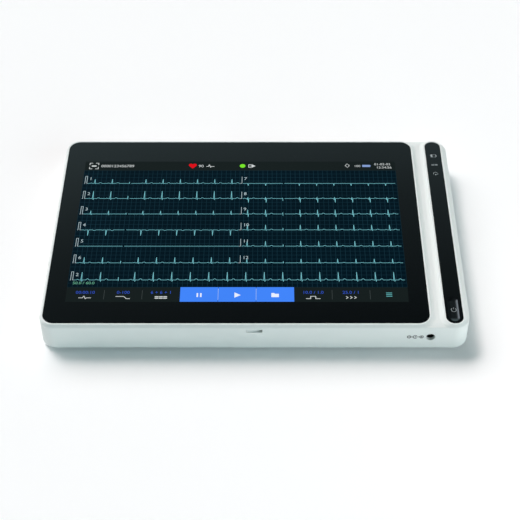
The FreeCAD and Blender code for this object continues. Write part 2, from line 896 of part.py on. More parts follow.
def slider_knob():
    y_start = y_front + knob_recess
    corners = [
        Vector(knob_x0, y_start, 0),
        Vector(knob_x1, y_start + knob_ramp, 0),
        Vector(knob_x1, slider_y0 + tiny, 0),
        Vector(knob_x0, slider_y0 + tiny, 0),
    ]
    knob = Part.Face(Part.makePolygon(corners + corners[:1])).extrude(Vector(0, 0, knob_h))
    knob.translate(Vector(0, 0, slot_z - knob_h / 2))
    return knob


def hold_slider():
    out = slider_flange_out
    z0 = slot_z - slot_h / 2 - out
    z1 = slot_z + slider_flange_up
    parts = [slider_knob(), box(knob_x0 - out, knob_x1 + out, slider_y0, slider_y1, z0, z1)]
    near = lever_w / 2
    far = near + prong_w
    low = z_lever - prong_h / 2
    high = z_lever + prong_h / 2
    for x0, x1 in ((-far, -near), (near, far)):
        parts.append(box(knob_xc + x0, knob_xc + x1, slider_y1 - tiny, prong_y1, low, high))
    return joined(parts)


def slide_switch_lever():
    w = lever_w / 2
    h = lever_h / 2
    y0 = slider_y1 + lever_gap
    y1 = hold_switch_y0 + lever_in
    return box(knob_xc - w, knob_xc + w, y0, y1, z_lever - h, z_lever + h)


def slide_switch_body():
    half = hold_switch_w / 2
    y1 = hold_switch_y0 + hold_switch_d
    solid = box(-half, half, hold_switch_y0, y1, z_hold_board, z_hold_board + hold_switch_h)
    x0 = knob_xc - lever_w / 2 - slide_gap
    x1 = knob_xc + lever_w / 2 + hold_travel + slide_gap
    h = lever_h / 2 + slide_gap
    y_slot = hold_switch_y0 + lever_in + slide_gap
    return solid.cut(box(x0, x1, hold_switch_y0 - reach, y_slot, z_lever - h, z_lever + h))


def hold_board():
    half = hold_board_w / 2
    z0 = z_hold_board - side_board_t
    solid = box(-half, half, hold_switch_y0, hold_board_y1, z0, z_hold_board)
    holes = [rod(x, y, z0 - reach, z_hold_board + reach, small_screw_r + hole_clear) for x, y in hold_post_at]
    return solid.cut(holes)


# Boards and what stands on them

def flat_board(x0, x1, y0, y1, screws):
    holes = [rod(x, y, z_board - reach, z_board_top + reach, small_screw_r + hole_clear) for x, y in screws]
    return box(x0, x1, y0, y1, z_board, z_board_top).cut(holes)


def main_board():
    return flat_board(main_x0, main_x1, main_y0, main_y1, main_screw_at)


def ecg_board():
    return flat_board(-ecg_x, ecg_x, ecg_board_y0, ecg_y1, ecg_screw_at)


def board_screws():
    screws = [small_screw(x, y, z_board_top, -1) for x, y in main_screw_at + ecg_screw_at]
    screws += [small_screw(x, y, z_hold_board, -1) for x, y in hold_post_at]
    z = z_side_board - side_board_t
    screws += [small_screw(x, y, z, 1) for x, y in button_post_at + light_post_at]
    return screws


def chip(x, y, w, d, h):
    return box(x - w / 2, x + w / 2, y - d / 2, y + d / 2, z_board_top, z_board_top + h)


def main_chips():
    away = (main_chip_w + memory_w) / 2 + memory_gap
    x = main_xc - away / 2
    chips = [chip(x, main_shield_y, main_chip_w, main_chip_w, main_chip_h)]
    chips.append(chip(x + away, main_shield_y, memory_w, memory_d, memory_h))
    return chips


def main_shield():
    w = main_shield_w / 2
    d = main_shield_d / 2
    return can(main_xc - w, main_xc + w, main_shield_y - d, main_shield_y + d, z_board_top, main_shield_h)


def ecg_shield():
    w = ecg_shield_w / 2
    y0 = ecg_board_y0 + ecg_shield_in
    return can(-w, w, y0, y0 + ecg_shield_d, z_board_top, ecg_shield_h)


def ecg_chips():
    y = ecg_board_y0 + ecg_shield_in + ecg_shield_d / 2
    return [chip(s * ecg_chip_w, y, ecg_chip_w, ecg_chip_w, ecg_chip_h) for s in (-1, 1)]


def clock_cell_holder():
    z1 = z_board_top + cell_floor + cell_t
    solid = rod(main_xc, cell_y, z_board_top, z1, cell_r + cell_gap + cell_wall)
    return solid.cut(rod(main_xc, cell_y, z_board_top + cell_floor, z1 + reach, cell_r + cell_gap))


def clock_cell():
    z0 = z_board_top + cell_floor
    return rod(main_xc, cell_y, z0, z0 + cell_t, cell_r)


# Sockets

def power_jack_body():
    y0 = y_front_in + jack_gap
    solid = box(jack_x - jack_w / 2, jack_x + jack_w / 2, y0, y0 + jack_d, z_board_top, jack_z + jack_over)
    return solid.cut(rod_along_y(jack_x, jack_z, y0 - reach, y0 + jack_bore_d, jack_bore_r))


def power_jack_pin():
    y0 = y_front_in + jack_gap
    return rod_along_y(jack_x, jack_z, y0 + jack_pin_short, y0 + jack_bore_d, jack_pin_r)


def usb_shell():
    y1 = y_back - usb_face_in
    y0 = y1 - usb_d
    z0 = z_board_top
    solid = box(usb_x - usb_w / 2, usb_x + usb_w / 2, y0, y1, z0, z0 + usb_h)
    half = usb_w / 2 - usb_t
    return solid.cut(box(usb_x - half, usb_x + half, y0 + usb_t, y1 + reach, z0 + usb_t, z0 + usb_h - usb_t))


def usb_tongue():
    y1 = y_back - usb_face_in
    y0 = y1 - usb_d + usb_t
    z0 = z_board_top + usb_t
    z1 = z_board_top + usb_h - usb_t
    half = usb_w / 2 - usb_t
    block = box(usb_x - half, usb_x + half, y0, y0 + usb_block_d, z0, z1)
    half -= usb_tongue_side
    y_end = y1 - usb_tongue_short
    z_top = z1 - usb_tongue_side
    tongue = box(usb_x - half, usb_x + half, y0, y_end, z_top - usb_tongue_t, z_top)
    return joined([block, tongue])


def d_shape(out, y0, y1):
    """Bar along Y with the D section of the socket, out past the insert's own outline."""
    top = socket_shell_w / 2 - socket_shell_t + out
    low = top - 2 * socket_slant
    h = socket_shell_h / 2 - socket_shell_t + out
    corners = [Vector(-top, y0, h), Vector(top, y0, h), Vector(low, y0, -h), Vector(-low, y0, -h)]
    bar = Part.Face(Part.makePolygon(corners + corners[:1])).extrude(Vector(0, y1 - y0, 0))
    bar.translate(Vector(0, 0, z_socket))
    return bar


def patient_socket_shell():
    half_w = socket_flange_w / 2
    half_h = socket_flange_h / 2
    flange = box(-half_w, half_w, socket_y - socket_flange_t, socket_y, z_socket - half_h, z_socket + half_h)
    nose = d_shape(socket_shell_t, socket_y - tiny, socket_y + socket_shell_len)
    cuts = [d_shape(0, socket_y - socket_flange_t - reach, socket_y + socket_shell_len + reach)]
    for s in (-1, 1):
        x = s * jackscrew_pitch / 2
        r = jackscrew_thread_r + hole_clear
        cuts.append(rod_along_y(x, z_socket, socket_y - reach, socket_y + reach, r))
    return less(joined([flange, nose]), cuts)


def socket_contact_at():
    at = []
    for row, count in ((0.5, socket_count), (-0.5, socket_count - 1)):
        for i in range(count):
            x = (i - (count - 1) / 2) * socket_pitch
            at.append((x, z_socket + row * socket_row_gap))
    return at


def patient_socket_insert():
    y0 = socket_y - socket_flange_t - socket_back_d
    solid = d_shape(0, y0, socket_y + socket_shell_len)
    bores = [rod_along_y(x, z, y0 - reach, socket_y + socket_shell_len + reach, socket_contact_r)
             for x, z in socket_contact_at()]
    return solid.cut(bores)


def patient_socket_contacts():
    y0 = socket_y - socket_flange_t - socket_back_d - socket_contact_tail
    y1 = socket_y + socket_shell_len / 2
    return [rod_along_y(x, z, y0, y1, socket_contact_r) for x, z in socket_contact_at()]


def patient_socket_jackscrews():
    screws = []
    for s in (-1, 1):
        x = s * jackscrew_pitch / 2
        corners = []
        for i in range(7):
            a = math.radians(60 * i)
            away = Vector(jackscrew_r * math.cos(a), 0, jackscrew_r * math.sin(a))
            corners.append(Vector(x, socket_y, z_socket) + away)
        head = Part.Face(Part.makePolygon(corners)).extrude(Vector(0, jackscrew_len, 0))
        tail = rod_along_y(x, z_socket, socket_y - jackscrew_tail, socket_y + tiny, jackscrew_thread_r)
        bore = rod_along_y(x, z_socket, socket_y, socket_y + jackscrew_len + reach, jackscrew_bore_r)
        screws.append(less(joined([head, tail]), [bore]))
    return screws


# Battery

def battery_pack():
    g = battery_gap
    z0 = z_under + cover_t
    return plate(bay_x0 + g, bay_x1 - g, bay_y0 + g, bay_y1 - g, z0, z0 + battery_t, battery_r)


def battery_cover():
    w = bay_rest - cover_gap
    y0 = bay_y0 - bay_front + cover_gap
    solid = plate(bay_x0 - w, bay_x1 + w, y0, bay_y1 + w, z_under, z_under + cover_t, cover_r)
    holes = []
    for x, y in cover_screw_at:
        holes.append(rod(x, y, z_under - reach, z_under + cover_t + reach, cover_screw_r + hole_clear))
        z1 = z_under + cover_head_h + cover_head_gap
        holes.append(rod(x, y, z_under - reach, z1, cover_head_r + hole_clear))
    return less(solid, holes)


def battery_cover_screws():
    z = z_under + cover_head_h + cover_head_gap
    length = cover_screw_len + cover_t - cover_head_h - 2 * cover_head_gap
    return [screw(x, y, z, 1, cover_screw_r, length, cover_head_r, cover_head_h) for x, y in cover_screw_at]


def battery_connector():
    half = plug_w / 2
    x1 = bay_x1 + bay_wall + plug_out
    return box(bay_x1, x1, bay_y - half, bay_y + half, z_plug, z_plug + plug_h)


# Cables and their connectors

def connector_on_board(x0, x1, y0, y1):
    return box(x0, x1, y0, y1, z_board_top, z_board_top + connector_h)


display_cable_x0 = main_xc - connector_d
display_cable_y = panel_y0 - panel_clear - ribbon_t
display_connector_y = panel_y0 + connector_d
touch_connector_y = panel_y1 - connector_d
side_connector_x = main_x1 - board_gap
button_cable_y = button_board_y1 - board_edge - side_cable_w
light_cable_y = light_board_y0 + 2 * side_post_in + board_edge
hold_cable_x = case_mid_x + case_boss_r + ribbon_t
hold_cable_y1 = hold_board_y1 - board_edge
hold_cable_y0 = hold_cable_y1 - connector_d
ecg_cable_y0 = ecg_board_y0 + board_screw_in + small_head_r + board_edge
ecg_cable_y1 = ecg_cable_y0 + ecg_cable_w
lead_x0 = bay_x1 + bay_wall + plug_out
lead_y0 = bay_y - lead_w / 2 - board_clear
cable_end = ribbon_t / 2


def board_connectors():
    x0 = display_cable_x0
    x1 = side_connector_x
    d = connector_d
    w = side_cable_w
    ends = [
        connector_on_board(x0, x0 + cable_w, display_connector_y, display_connector_y + d),
        connector_on_board(x0, x0 + cable_w, touch_connector_y - d, touch_connector_y),
        connector_on_board(x1 - d, x1, button_cable_y, button_cable_y + w),
        connector_on_board(x1 - d, x1, light_cable_y, light_cable_y + w),
        connector_on_board(main_x0 + board_edge, main_x0 + board_edge + d, hold_cable_y0, hold_cable_y1),
        connector_on_board(main_x0 + board_edge, main_x0 + board_edge + d, ecg_cable_y0, ecg_cable_y1),
        connector_on_board(ecg_x - board_edge - d, ecg_x - board_edge, ecg_cable_y0, ecg_cable_y1),
        connector_on_board(main_x0 + board_edge, main_x0 + board_edge + d, lead_y0, lead_y0 + lead_w),
    ]
    return ends


def display_ribbon():
    z = (z_backlight + min(z_panel, z_cover)) / 2
    y = display_cable_y
    points = [(panel_y0 - cable_end, z), (y, z), (y, z_cable), (display_connector_y - cable_end, z_cable)]
    return ribbon(points, display_cable_x0, display_cable_x0 + cable_w, False)


def touch_ribbon():
    z = (z_touch + z_glass_under) / 2
    y = panel_y1 + panel_clear / 2
    points = [(panel_y1 + cable_end, z), (y, z), (y, z_cable), (touch_connector_y + cable_end, z_cable)]
    return ribbon(points, display_cable_x0, display_cable_x0 + cable_w, False)


def side_ribbon(y0):
    z = z_side_board - side_board_t - cable_end
    points = [(strip_xc, z), (strip_xc, z_cable), (side_connector_x + cable_end, z_cable)]
    return ribbon(points, y0, y0 + side_cable_w, True)


def hold_ribbon():
    z = z_hold_board - side_board_t - cable_end
    x = hold_board_w / 2 - board_edge
    x_end = main_x0 + board_edge - cable_end
    points = [(x, z), (hold_cable_x, z), (hold_cable_x, z_cable), (x_end, z_cable)]
    return ribbon(points, hold_cable_y0, hold_cable_y1, True)


def ecg_ribbon():
    x0 = ecg_x - board_edge + cable_end
    x1 = main_x0 + board_edge - cable_end
    return ribbon([(x0, z_cable), (x1, z_cable)], ecg_cable_y0, ecg_cable_y1, True)


def board_ribbons():
    return [side_ribbon(button_cable_y), side_ribbon(light_cable_y), hold_ribbon(), ecg_ribbon()]


def battery_lead():
    half = lead_t / 2
    x1 = main_x0 + board_edge
    return box(lead_x0, x1, lead_y0, lead_y0 + lead_w, z_cable - half, z_cable + half)


# Speaker and antenna

def speaker_gasket():
    outer = rod(0, speaker_y, z_floor, z_floor + speaker_gasket_t, speaker_r)
    return outer.cut(rod(0, speaker_y, z_floor - reach, z_floor + reach, speaker_r - speaker_rim_w))


def speaker_basket():
    w = speaker_wall
    in_r = speaker_r - speaker_rim_w
    z1 = speaker_h
    points = [(speaker_r, 0), (speaker_r, speaker_rim_t), (speaker_r - w, speaker_rim_t)]
    points += [(speaker_top_r + w, z1), (0, z1), (0, z1 - w), (speaker_top_r, z1 - w)]
    points += [(in_r, speaker_rim_t), (in_r, 0)]
    return turned(points, 0, speaker_y, z_floor + speaker_gasket_t)


def speaker_cone():
    in_r = speaker_r - speaker_rim_w
    low_r = speaker_top_r / 2
    z1 = speaker_h - speaker_wall - cone_gap
    points = [(in_r, 0), (in_r, cone_t), (low_r, z1), (0, z1), (0, z1 - cone_t)]
    points += [(low_r - cone_t, z1 - cone_t), (in_r - speaker_wall, 0)]
    return turned(points, 0, speaker_y, z_floor + speaker_gasket_t)


def speaker_magnet():
    z0 = z_floor + speaker_gasket_t + speaker_h
    return rod(0, speaker_y, z0, z0 + magnet_h, magnet_r)


def antenna_strip():
    half = antenna_len / 2
    z0 = z_floor + antenna_rise
    return box(x_left_in, x_left_in + antenna_t, -half, half, z0, z0 + antenna_h)


pieces = [
    top_cover, bottom_housing, housing_seal, rubber_feet, case_screws, mount_inserts,
    cover_glass, glass_adhesive, touch_film, display_panel, backlight_tray, display_bracket, bracket_screws,
    side_strip, strip_adhesive, power_button, power_switch_plunger, power_switch_body, button_board,
    indicator_board, indicator_lights, light_pipe,
    hold_slider, slide_switch_lever, slide_switch_body, hold_board,
    main_board, ecg_board, board_screws, main_chips, main_shield, ecg_shield, ecg_chips,
    clock_cell_holder, clock_cell, power_jack_body, power_jack_pin, usb_shell, usb_tongue,
    patient_socket_shell, patient_socket_insert, patient_socket_contacts, patient_socket_jackscrews,
    battery_pack, battery_cover, battery_cover_screws, battery_connector, battery_lead,
    board_connectors, display_ribbon, touch_ribbon, board_ribbons,
    speaker_gasket, speaker_basket, speaker_cone, speaker_magnet, antenna_strip,
]

os.makedirs("parts", exist_ok=True)
for piece in pieces:
    made = piece()
    solids = []
    for shape in made if isinstance(made, list) else [made]:
        solids += shape.Solids
    node = solids[0] if len(solids) == 1 else Part.makeCompound(solids)
    node.exportStep("parts/" + piece.__name__ + ".step")
    print(piece.__name__, len(solids), round(node.Volume, 1), node.isValid())
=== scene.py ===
# %% [markdown]
# # Dressing a tablet-style ECG machine
# The machine is a flat white case with a wide glass display, a black strip with
# a power button at its right, and a small slider and a power socket in its front
# wall. Every solid piece of it already exists as a CAD node, at its true size.
# This lesson adds what CAD leaves out: finishes, the picture on the display,
# printed marks, light and a camera. Everything is in metres, and no new piece
# stands off the CAD surface by more than a few hundredths of a millimetre.

# %% Load the CAD pieces
import json
import math

import bmesh
import bpy
from mathutils import Matrix, Vector


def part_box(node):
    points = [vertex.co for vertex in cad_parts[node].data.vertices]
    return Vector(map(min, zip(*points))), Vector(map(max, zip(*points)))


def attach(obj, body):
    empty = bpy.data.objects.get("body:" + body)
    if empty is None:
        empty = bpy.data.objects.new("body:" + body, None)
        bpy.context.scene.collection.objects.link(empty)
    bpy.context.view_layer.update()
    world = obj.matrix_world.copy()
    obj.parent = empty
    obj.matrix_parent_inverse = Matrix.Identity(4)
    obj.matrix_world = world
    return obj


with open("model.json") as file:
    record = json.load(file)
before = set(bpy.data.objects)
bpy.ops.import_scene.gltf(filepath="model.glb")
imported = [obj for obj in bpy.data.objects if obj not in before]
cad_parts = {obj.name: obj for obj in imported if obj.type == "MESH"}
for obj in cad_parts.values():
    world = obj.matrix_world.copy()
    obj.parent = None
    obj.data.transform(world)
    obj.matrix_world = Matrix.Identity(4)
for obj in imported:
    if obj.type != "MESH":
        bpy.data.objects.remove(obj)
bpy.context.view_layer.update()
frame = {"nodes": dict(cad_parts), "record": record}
nodes = frame["nodes"]
slot_of = {part["node"]: part["material_slot"] for part in frame["record"]["subparts"]}
MM = 0.001

# %% [markdown]
# ## Helpers for node trees
# A material in Blender is a small network of nodes. Writing `tree.nodes.new` and
# `tree.links.new` again and again hides what the network does, so two short
# helpers add a node and join two sockets. A third one starts a node group, which
# is a piece of network that several materials share.

# %% Node helpers
def add(tree, kind, **settings):
    made = tree.nodes.new(kind)
    for name, value in settings.items():
        setattr(made, name, value)
    return made


def join(tree, source, target):
    tree.links.new(source, target)


def start_group(name, inputs, outputs):
    group = bpy.data.node_groups.new(name, "ShaderNodeTree")
    for label, value in inputs:
        socket = group.interface.new_socket(label, in_out="INPUT", socket_type="NodeSocketFloat")
        socket.default_value = value
    for label in outputs:
        group.interface.new_socket(label, in_out="OUTPUT", socket_type="NodeSocketFloat")
    return group, add(group, "NodeGroupInput"), add(group, "NodeGroupOutput")


print("helpers ready")

# %% [markdown]
# ## Grain of moulded plastic
# Moulded plastic has a fine even grain from its mould, and hands leave faint
# soft patches on it. Both are noise, at two very different sizes, so one group
# makes them: Height is the grain, for a bump, and Patch is the slow variation,
# for colour and roughness. An image could do the same, but noise on Object
# coordinates needs no UV map and stays sharp however close the view comes.

# %% Grain group
GRAIN_SCALE = 4000.0
PATCH_SCALE = 25.0


def make_grain():
    inputs = [("Grain Scale", GRAIN_SCALE), ("Patch Scale", PATCH_SCALE)]
    group, given, result = start_group("moulded_grain", inputs, ["Height", "Patch"])
    place = add(group, "ShaderNodeTexCoord")
    for scale, output, detail in (("Grain Scale", "Height", 2.0), ("Patch Scale", "Patch", 3.0)):
        noise = add(group, "ShaderNodeTexNoise")
        noise.inputs["Detail"].default_value = detail
        join(group, place.outputs["Object"], noise.inputs["Vector"])
        join(group, given.outputs[scale], noise.inputs["Scale"])
        join(group, noise.outputs["Fac"], result.inputs[output])
    return group


grain_group = make_grain()
print("group", grain_group.name)

# %% [markdown]
# ## Lines of rolled and turned metal
# Sheet steel and turned pins carry fine parallel lines from the roll or the
# tool. A wave texture would repeat too evenly. Noise that is stretched along one
# axis gives lines that start and stop, as real ones do.

# %% Brushed group
LINE_SCALE = 900.0
LINE_STRETCH = (0.03, 1.0, 1.0)


def make_brushed():
    group, given, result = start_group("brushed_lines", [("Line Scale", LINE_SCALE)], ["Lines"])
    place = add(group, "ShaderNodeTexCoord")
    stretch = add(group, "ShaderNodeMapping")
    stretch.inputs["Scale"].default_value = LINE_STRETCH
    noise = add(group, "ShaderNodeTexNoise")
    join(group, place.outputs["Object"], stretch.inputs["Vector"])
    join(group, stretch.outputs["Vector"], noise.inputs["Vector"])
    join(group, given.outputs["Line Scale"], noise.inputs["Scale"])
    join(group, noise.outputs["Fac"], result.inputs["Lines"])
    return group


brushed_group = make_brushed()
print("group", brushed_group.name)

# %% [markdown]
# ## Steps that every finish takes
# Each finish starts from a Principled shader, lets its colour and roughness
# drift between two values, and may add a bump. These steps are functions, so a
# finish can be read as a list of what it does.

# %% Steps of a finish
DRIFT_FROM = 0.3
DRIFT_TO = 0.7


def start_finish(name):
    material = bpy.data.materials.new(name)
    material.use_nodes = True
    return material, material.node_tree, material.node_tree.nodes["Principled BSDF"]


def vary_colour(tree, factor, dark, light, target):
    ramp = add(tree, "ShaderNodeValToRGB")
    first, last = ramp.color_ramp.elements
    first.position = DRIFT_FROM
    first.color = (*dark, 1.0)
    last.position = DRIFT_TO
    last.color = (*light, 1.0)
    join(tree, factor, ramp.inputs["Fac"])
    join(tree, ramp.outputs["Color"], target)


def vary_value(tree, factor, low, high, target):
    span = add(tree, "ShaderNodeMapRange")
    span.inputs["To Min"].default_value = low
    span.inputs["To Max"].default_value = high
    join(tree, factor, span.inputs["Value"])
    join(tree, span.outputs["Result"], target)


def add_bump(tree, shader, height, strength, depth):
    bump = add(tree, "ShaderNodeBump")
    bump.inputs["Strength"].default_value = strength
    bump.inputs["Distance"].default_value = depth
    join(tree, height, bump.inputs["Height"])
    join(tree, bump.outputs["Normal"], shader.inputs["Normal"])


print("steps ready")

# %% [markdown]
# ## Two recipes
# Nearly all finishes here are one of two kinds. A moulded finish has a grain
# bump and soft patches in its colour and roughness. A metal finish has fine
# lines. Each recipe takes the values that differ, so that a finish is one line
# of values later on. A polished piece has no grain, so it gets no bump node.
# `keep` follows a recipe and files the result under its name.

# %% Moulded and metal recipes
GRAIN_DEPTH = 0.05 * MM
LINE_DEPTH = 0.03 * MM
PATCH_DRIFT = 0.15
LINE_DRIFT = 0.3
LINE_SHADE = 0.8
finishes = {}


def moulded(name, colour, rough, grain=GRAIN_SCALE, bump=0.15, shade=0.94, specular=0.5):
    material, tree, shader = start_finish(name)
    effect = add(tree, "ShaderNodeGroup", node_tree=grain_group)
    effect.inputs["Grain Scale"].default_value = grain
    spread = effect.outputs["Patch"]
    low, high = rough * (1 - PATCH_DRIFT), rough * (1 + PATCH_DRIFT)
    vary_colour(tree, spread, [c * shade for c in colour], colour, shader.inputs["Base Color"])
    vary_value(tree, spread, low, high, shader.inputs["Roughness"])
    if bump:
        add_bump(tree, shader, effect.outputs["Height"], bump, GRAIN_DEPTH)
    shader.inputs["Specular IOR Level"].default_value = specular
    return material


def metal(name, colour, rough, lines=LINE_SCALE, bump=0.1):
    material, tree, shader = start_finish(name)
    effect = add(tree, "ShaderNodeGroup", node_tree=brushed_group)
    effect.inputs["Line Scale"].default_value = lines
    drawn = effect.outputs["Lines"]
    low, high = rough * (1 - LINE_DRIFT), rough * (1 + LINE_DRIFT)
    vary_colour(tree, drawn, [c * LINE_SHADE for c in colour], colour, shader.inputs["Base Color"])
    vary_value(tree, drawn, low, high, shader.inputs["Roughness"])
    add_bump(tree, shader, drawn, bump, LINE_DEPTH)
    shader.inputs["Metallic"].default_value = 1.0
    return material


def keep(recipe, name, *values, **more):
    finishes[name] = recipe(name, *values, **more)


print("recipes ready")

# %% [markdown]
# ## Finishes of the outside
# The two shells are satin white plastic, with a hint of green in the white and a
# very fine grain. The display glass, the strip and the button are polished black,
# so their look is nearly all reflection and their own colour is close to none.
# The slider's knob is painted a grey darker than the case, which stands for the shade it sits in
# within its slot, and the feet are soft rubber.

# %% Finishes of the outside
SATIN = {"grain": 5200.0, "bump": 0.12}
POLISHED = {"bump": 0.0, "shade": 0.8}
keep(moulded, "housing_white", (0.79, 0.825, 0.805), 0.42, shade=0.985, **SATIN)
# The knob's grey is painted shade: it darkens the knob the way its slot would shade it.
keep(moulded, "slider_grey", (0.68, 0.71, 0.7), 0.5, **SATIN)
keep(moulded, "cover_glass_black", (0.0018, 0.0026, 0.0032), 0.06, **POLISHED)
keep(moulded, "strip_black", (0.0012, 0.0015, 0.002), 0.09, specular=0.7, **POLISHED)
keep(moulded, "button_black", (0.0012, 0.0015, 0.002), 0.18, specular=1.0, **POLISHED)
keep(moulded, "soft_rubber", (0.1, 0.1, 0.105), 0.85, grain=2500.0, bump=0.35, shade=0.8)
keep(moulded, "jack_black", (0.012, 0.012, 0.013), 0.4, bump=0.1, shade=0.8)
print(len(finishes), "outside finishes")

# %% [markdown]
# ## Metals and clear pieces
# Screws, sockets, pins and foil are metal, and show by their fine lines. The
# clear pieces let light through: their transmission is one value for the whole
# piece, so it is set on the shader itself, not through a node.

# %% Metals and clear pieces
def clear(name, colour, rough, through):
    material = moulded(name, colour, rough, bump=0.05, shade=0.97)
    shader = material.node_tree.nodes["Principled BSDF"]
    shader.inputs["Transmission Weight"].default_value = through
    return material


keep(metal, "sheet_steel", (0.56, 0.57, 0.58), 0.34, lines=700.0)
keep(metal, "screw_steel", (0.52, 0.53, 0.55), 0.3, lines=2400.0)
keep(metal, "insert_brass", (0.72, 0.5, 0.2), 0.3, lines=2400.0)
keep(metal, "socket_nickel", (0.66, 0.64, 0.6), 0.24, lines=1800.0)
keep(metal, "contact_gold", (0.83, 0.62, 0.26), 0.2, lines=3000.0)
keep(metal, "cell_steel", (0.64, 0.65, 0.66), 0.18, lines=1500.0)
keep(metal, "antenna_copper", (0.72, 0.38, 0.22), 0.35, lines=1200.0)
keep(clear, "film_clear", (0.75, 0.8, 0.82), 0.08, 0.85)
keep(clear, "light_clear", (0.86, 0.9, 0.92), 0.15, 0.7)
keep(clear, "led_white", (0.92, 0.86, 0.6), 0.2, 0.3)
print(len(finishes), "finishes so far")

# %% [markdown]
# ## Circuit boards
# The inside only shows when the part is taken apart, but it is dressed with the
# same care. A circuit board is green lacquer over copper tracks, which show
# through as slightly lighter bands. Drawing tracks one by one would cost much
# and show little, so a brick pattern gives the bands and a low relief.

# %% Circuit board finish
TRACK_SCALE = 160.0
TRACK_WIDE = 0.06
LACQUER = (0.006, 0.07, 0.028, 1.0)
LACQUER_THIN = (0.008, 0.085, 0.034, 1.0)
TRACK = (0.03, 0.17, 0.07, 1.0)


def board_finish(name):
    material, tree, shader = start_finish(name)
    place = add(tree, "ShaderNodeTexCoord")
    bricks = add(tree, "ShaderNodeTexBrick", offset=0.37, squash=1.7)
    bricks.inputs["Scale"].default_value = TRACK_SCALE
    bricks.inputs["Mortar Size"].default_value = TRACK_WIDE
    bricks.inputs["Color1"].default_value = LACQUER
    bricks.inputs["Color2"].default_value = LACQUER_THIN
    bricks.inputs["Mortar"].default_value = TRACK
    join(tree, place.outputs["Object"], bricks.inputs["Vector"])
    join(tree, bricks.outputs["Color"], shader.inputs["Base Color"])
    effect = add(tree, "ShaderNodeGroup", node_tree=grain_group)
    vary_value(tree, effect.outputs["Patch"], 0.25, 0.4, shader.inputs["Roughness"])
    add_bump(tree, shader, bricks.outputs["Fac"], 0.3, LINE_DEPTH)
    return material


keep(board_finish, "board_green")
print("board finish ready")

# %% [markdown]
# ## Plastics, rubber and paper of the inside
# What is left inside is moulded or pressed: seals and tapes, chips, connectors,
# cables, the battery's wrap, the speaker's magnet and its paper cone. One recipe
# covers them all, because they differ in colour, gloss and how coarse they are.

# %% Plastics, rubber and paper inside
keep(moulded, "seal_rubber", (0.03, 0.03, 0.032), 0.85, grain=2500.0, bump=0.3, shade=0.8)
keep(moulded, "tape_black", (0.02, 0.02, 0.021), 0.9, grain=1500.0, bump=0.5, shade=0.75)
keep(moulded, "panel_dark", (0.006, 0.009, 0.012), 0.2, grain=6000.0, bump=0.05, shade=0.8)
keep(moulded, "tray_white", (0.78, 0.78, 0.77), 0.5)
keep(moulded, "chip_black", (0.02, 0.02, 0.021), 0.6, grain=3000.0, bump=0.3, shade=0.8)
keep(moulded, "connector_cream", (0.74, 0.69, 0.55), 0.45)
keep(moulded, "ribbon_amber", (0.6, 0.26, 0.04), 0.3, shade=0.8)
keep(moulded, "lead_grey", (0.25, 0.25, 0.26), 0.55, shade=0.85)
keep(moulded, "switch_black", (0.02, 0.02, 0.022), 0.45, shade=0.8)
keep(moulded, "plunger_grey", (0.36, 0.37, 0.37), 0.5)
keep(moulded, "insert_blue", (0.02, 0.045, 0.16), 0.42, shade=0.85)
keep(moulded, "battery_grey", (0.14, 0.145, 0.16), 0.4, grain=1800.0, bump=0.2, shade=0.85)
keep(moulded, "magnet_dark", (0.05, 0.05, 0.055), 0.55, grain=1500.0, bump=0.4, shade=0.75)
keep(moulded, "cone_paper", (0.035, 0.034, 0.033), 0.95, grain=900.0, bump=0.8, shade=0.6)
print(len(finishes), "finishes,", sorted(set(slot_of.values()) - set(finishes)), "missing")

# %% [markdown]
# ## Dress the CAD nodes
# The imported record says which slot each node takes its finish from, so the
# nodes are dressed in one loop. Their meshes are not touched.

# %% Assign the finishes
for name, piece in nodes.items():
    piece.data.materials.clear()
    piece.data.materials.append(finishes[slot_of[name]])
print("dressed", len(nodes), "nodes")

# %% [markdown]
# ## The screen as a sheet of thin layers
# The display shows a dark picture: a status bar, a grid with twelve heart traces
# and one long rhythm trace, and a row of touch keys. It could be an image, but
# then it would blur when someone comes close. Here it is drawn as thin plates
# and ribbons that lie on the glass, a few hundredths of a millimetre high, so
# every line stays sharp. A sheet has a left edge, a top edge and a level, and
# `spot` turns millimetres across and down it into model coordinates.

# %% Screen layout
SCREEN_WIDE = 216.96
SCREEN_TALL = 134.8
BORDER_LEFT = 12.85
BORDER_BACK = 21.0
FIELD_THICK = 0.02
sheet = {}


def lay_sheet(left, top, level):
    sheet.update(left=left, top=top, level=level)


def spot(u, v):
    return sheet["left"] + u * MM, sheet["top"] - v * MM


glass_low, glass_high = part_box("cover_glass")
screen_left = glass_low.x + BORDER_LEFT * MM
screen_top = glass_high.y - BORDER_BACK * MM
lay_sheet(screen_left, screen_top, glass_high.z + FIELD_THICK * MM)
print("screen from", [round(c / MM, 2) for c in spot(0, 0)])
print("to", [round(c / MM, 2) for c in spot(SCREEN_WIDE, SCREEN_TALL)])

# %% [markdown]
# ## Lit finishes
# A lit part of a display gives off its own light, so its colour goes to the
# emission and the surface under it is nearly black. Backlights are never quite
# even, so the colour drifts a little with the same slow noise as before. Screen
# colours are written as the 0 to 255 values that a display uses, and a helper
# turns them into the linear values that a shader needs.

# %% Lit finish recipe
UNLIT_DARK = (0.0003, 0.0003, 0.0003)
UNLIT_PALE = (0.0009, 0.0009, 0.0009)
SCREEN_ROUGH = 0.25
SCREEN_SPECULAR = 0.03


def linear(*levels):
    shares = [level / 255 for level in levels]
    return [s / 12.92 if s <= 0.04045 else ((s + 0.055) / 1.055) ** 2.4 for s in shares]


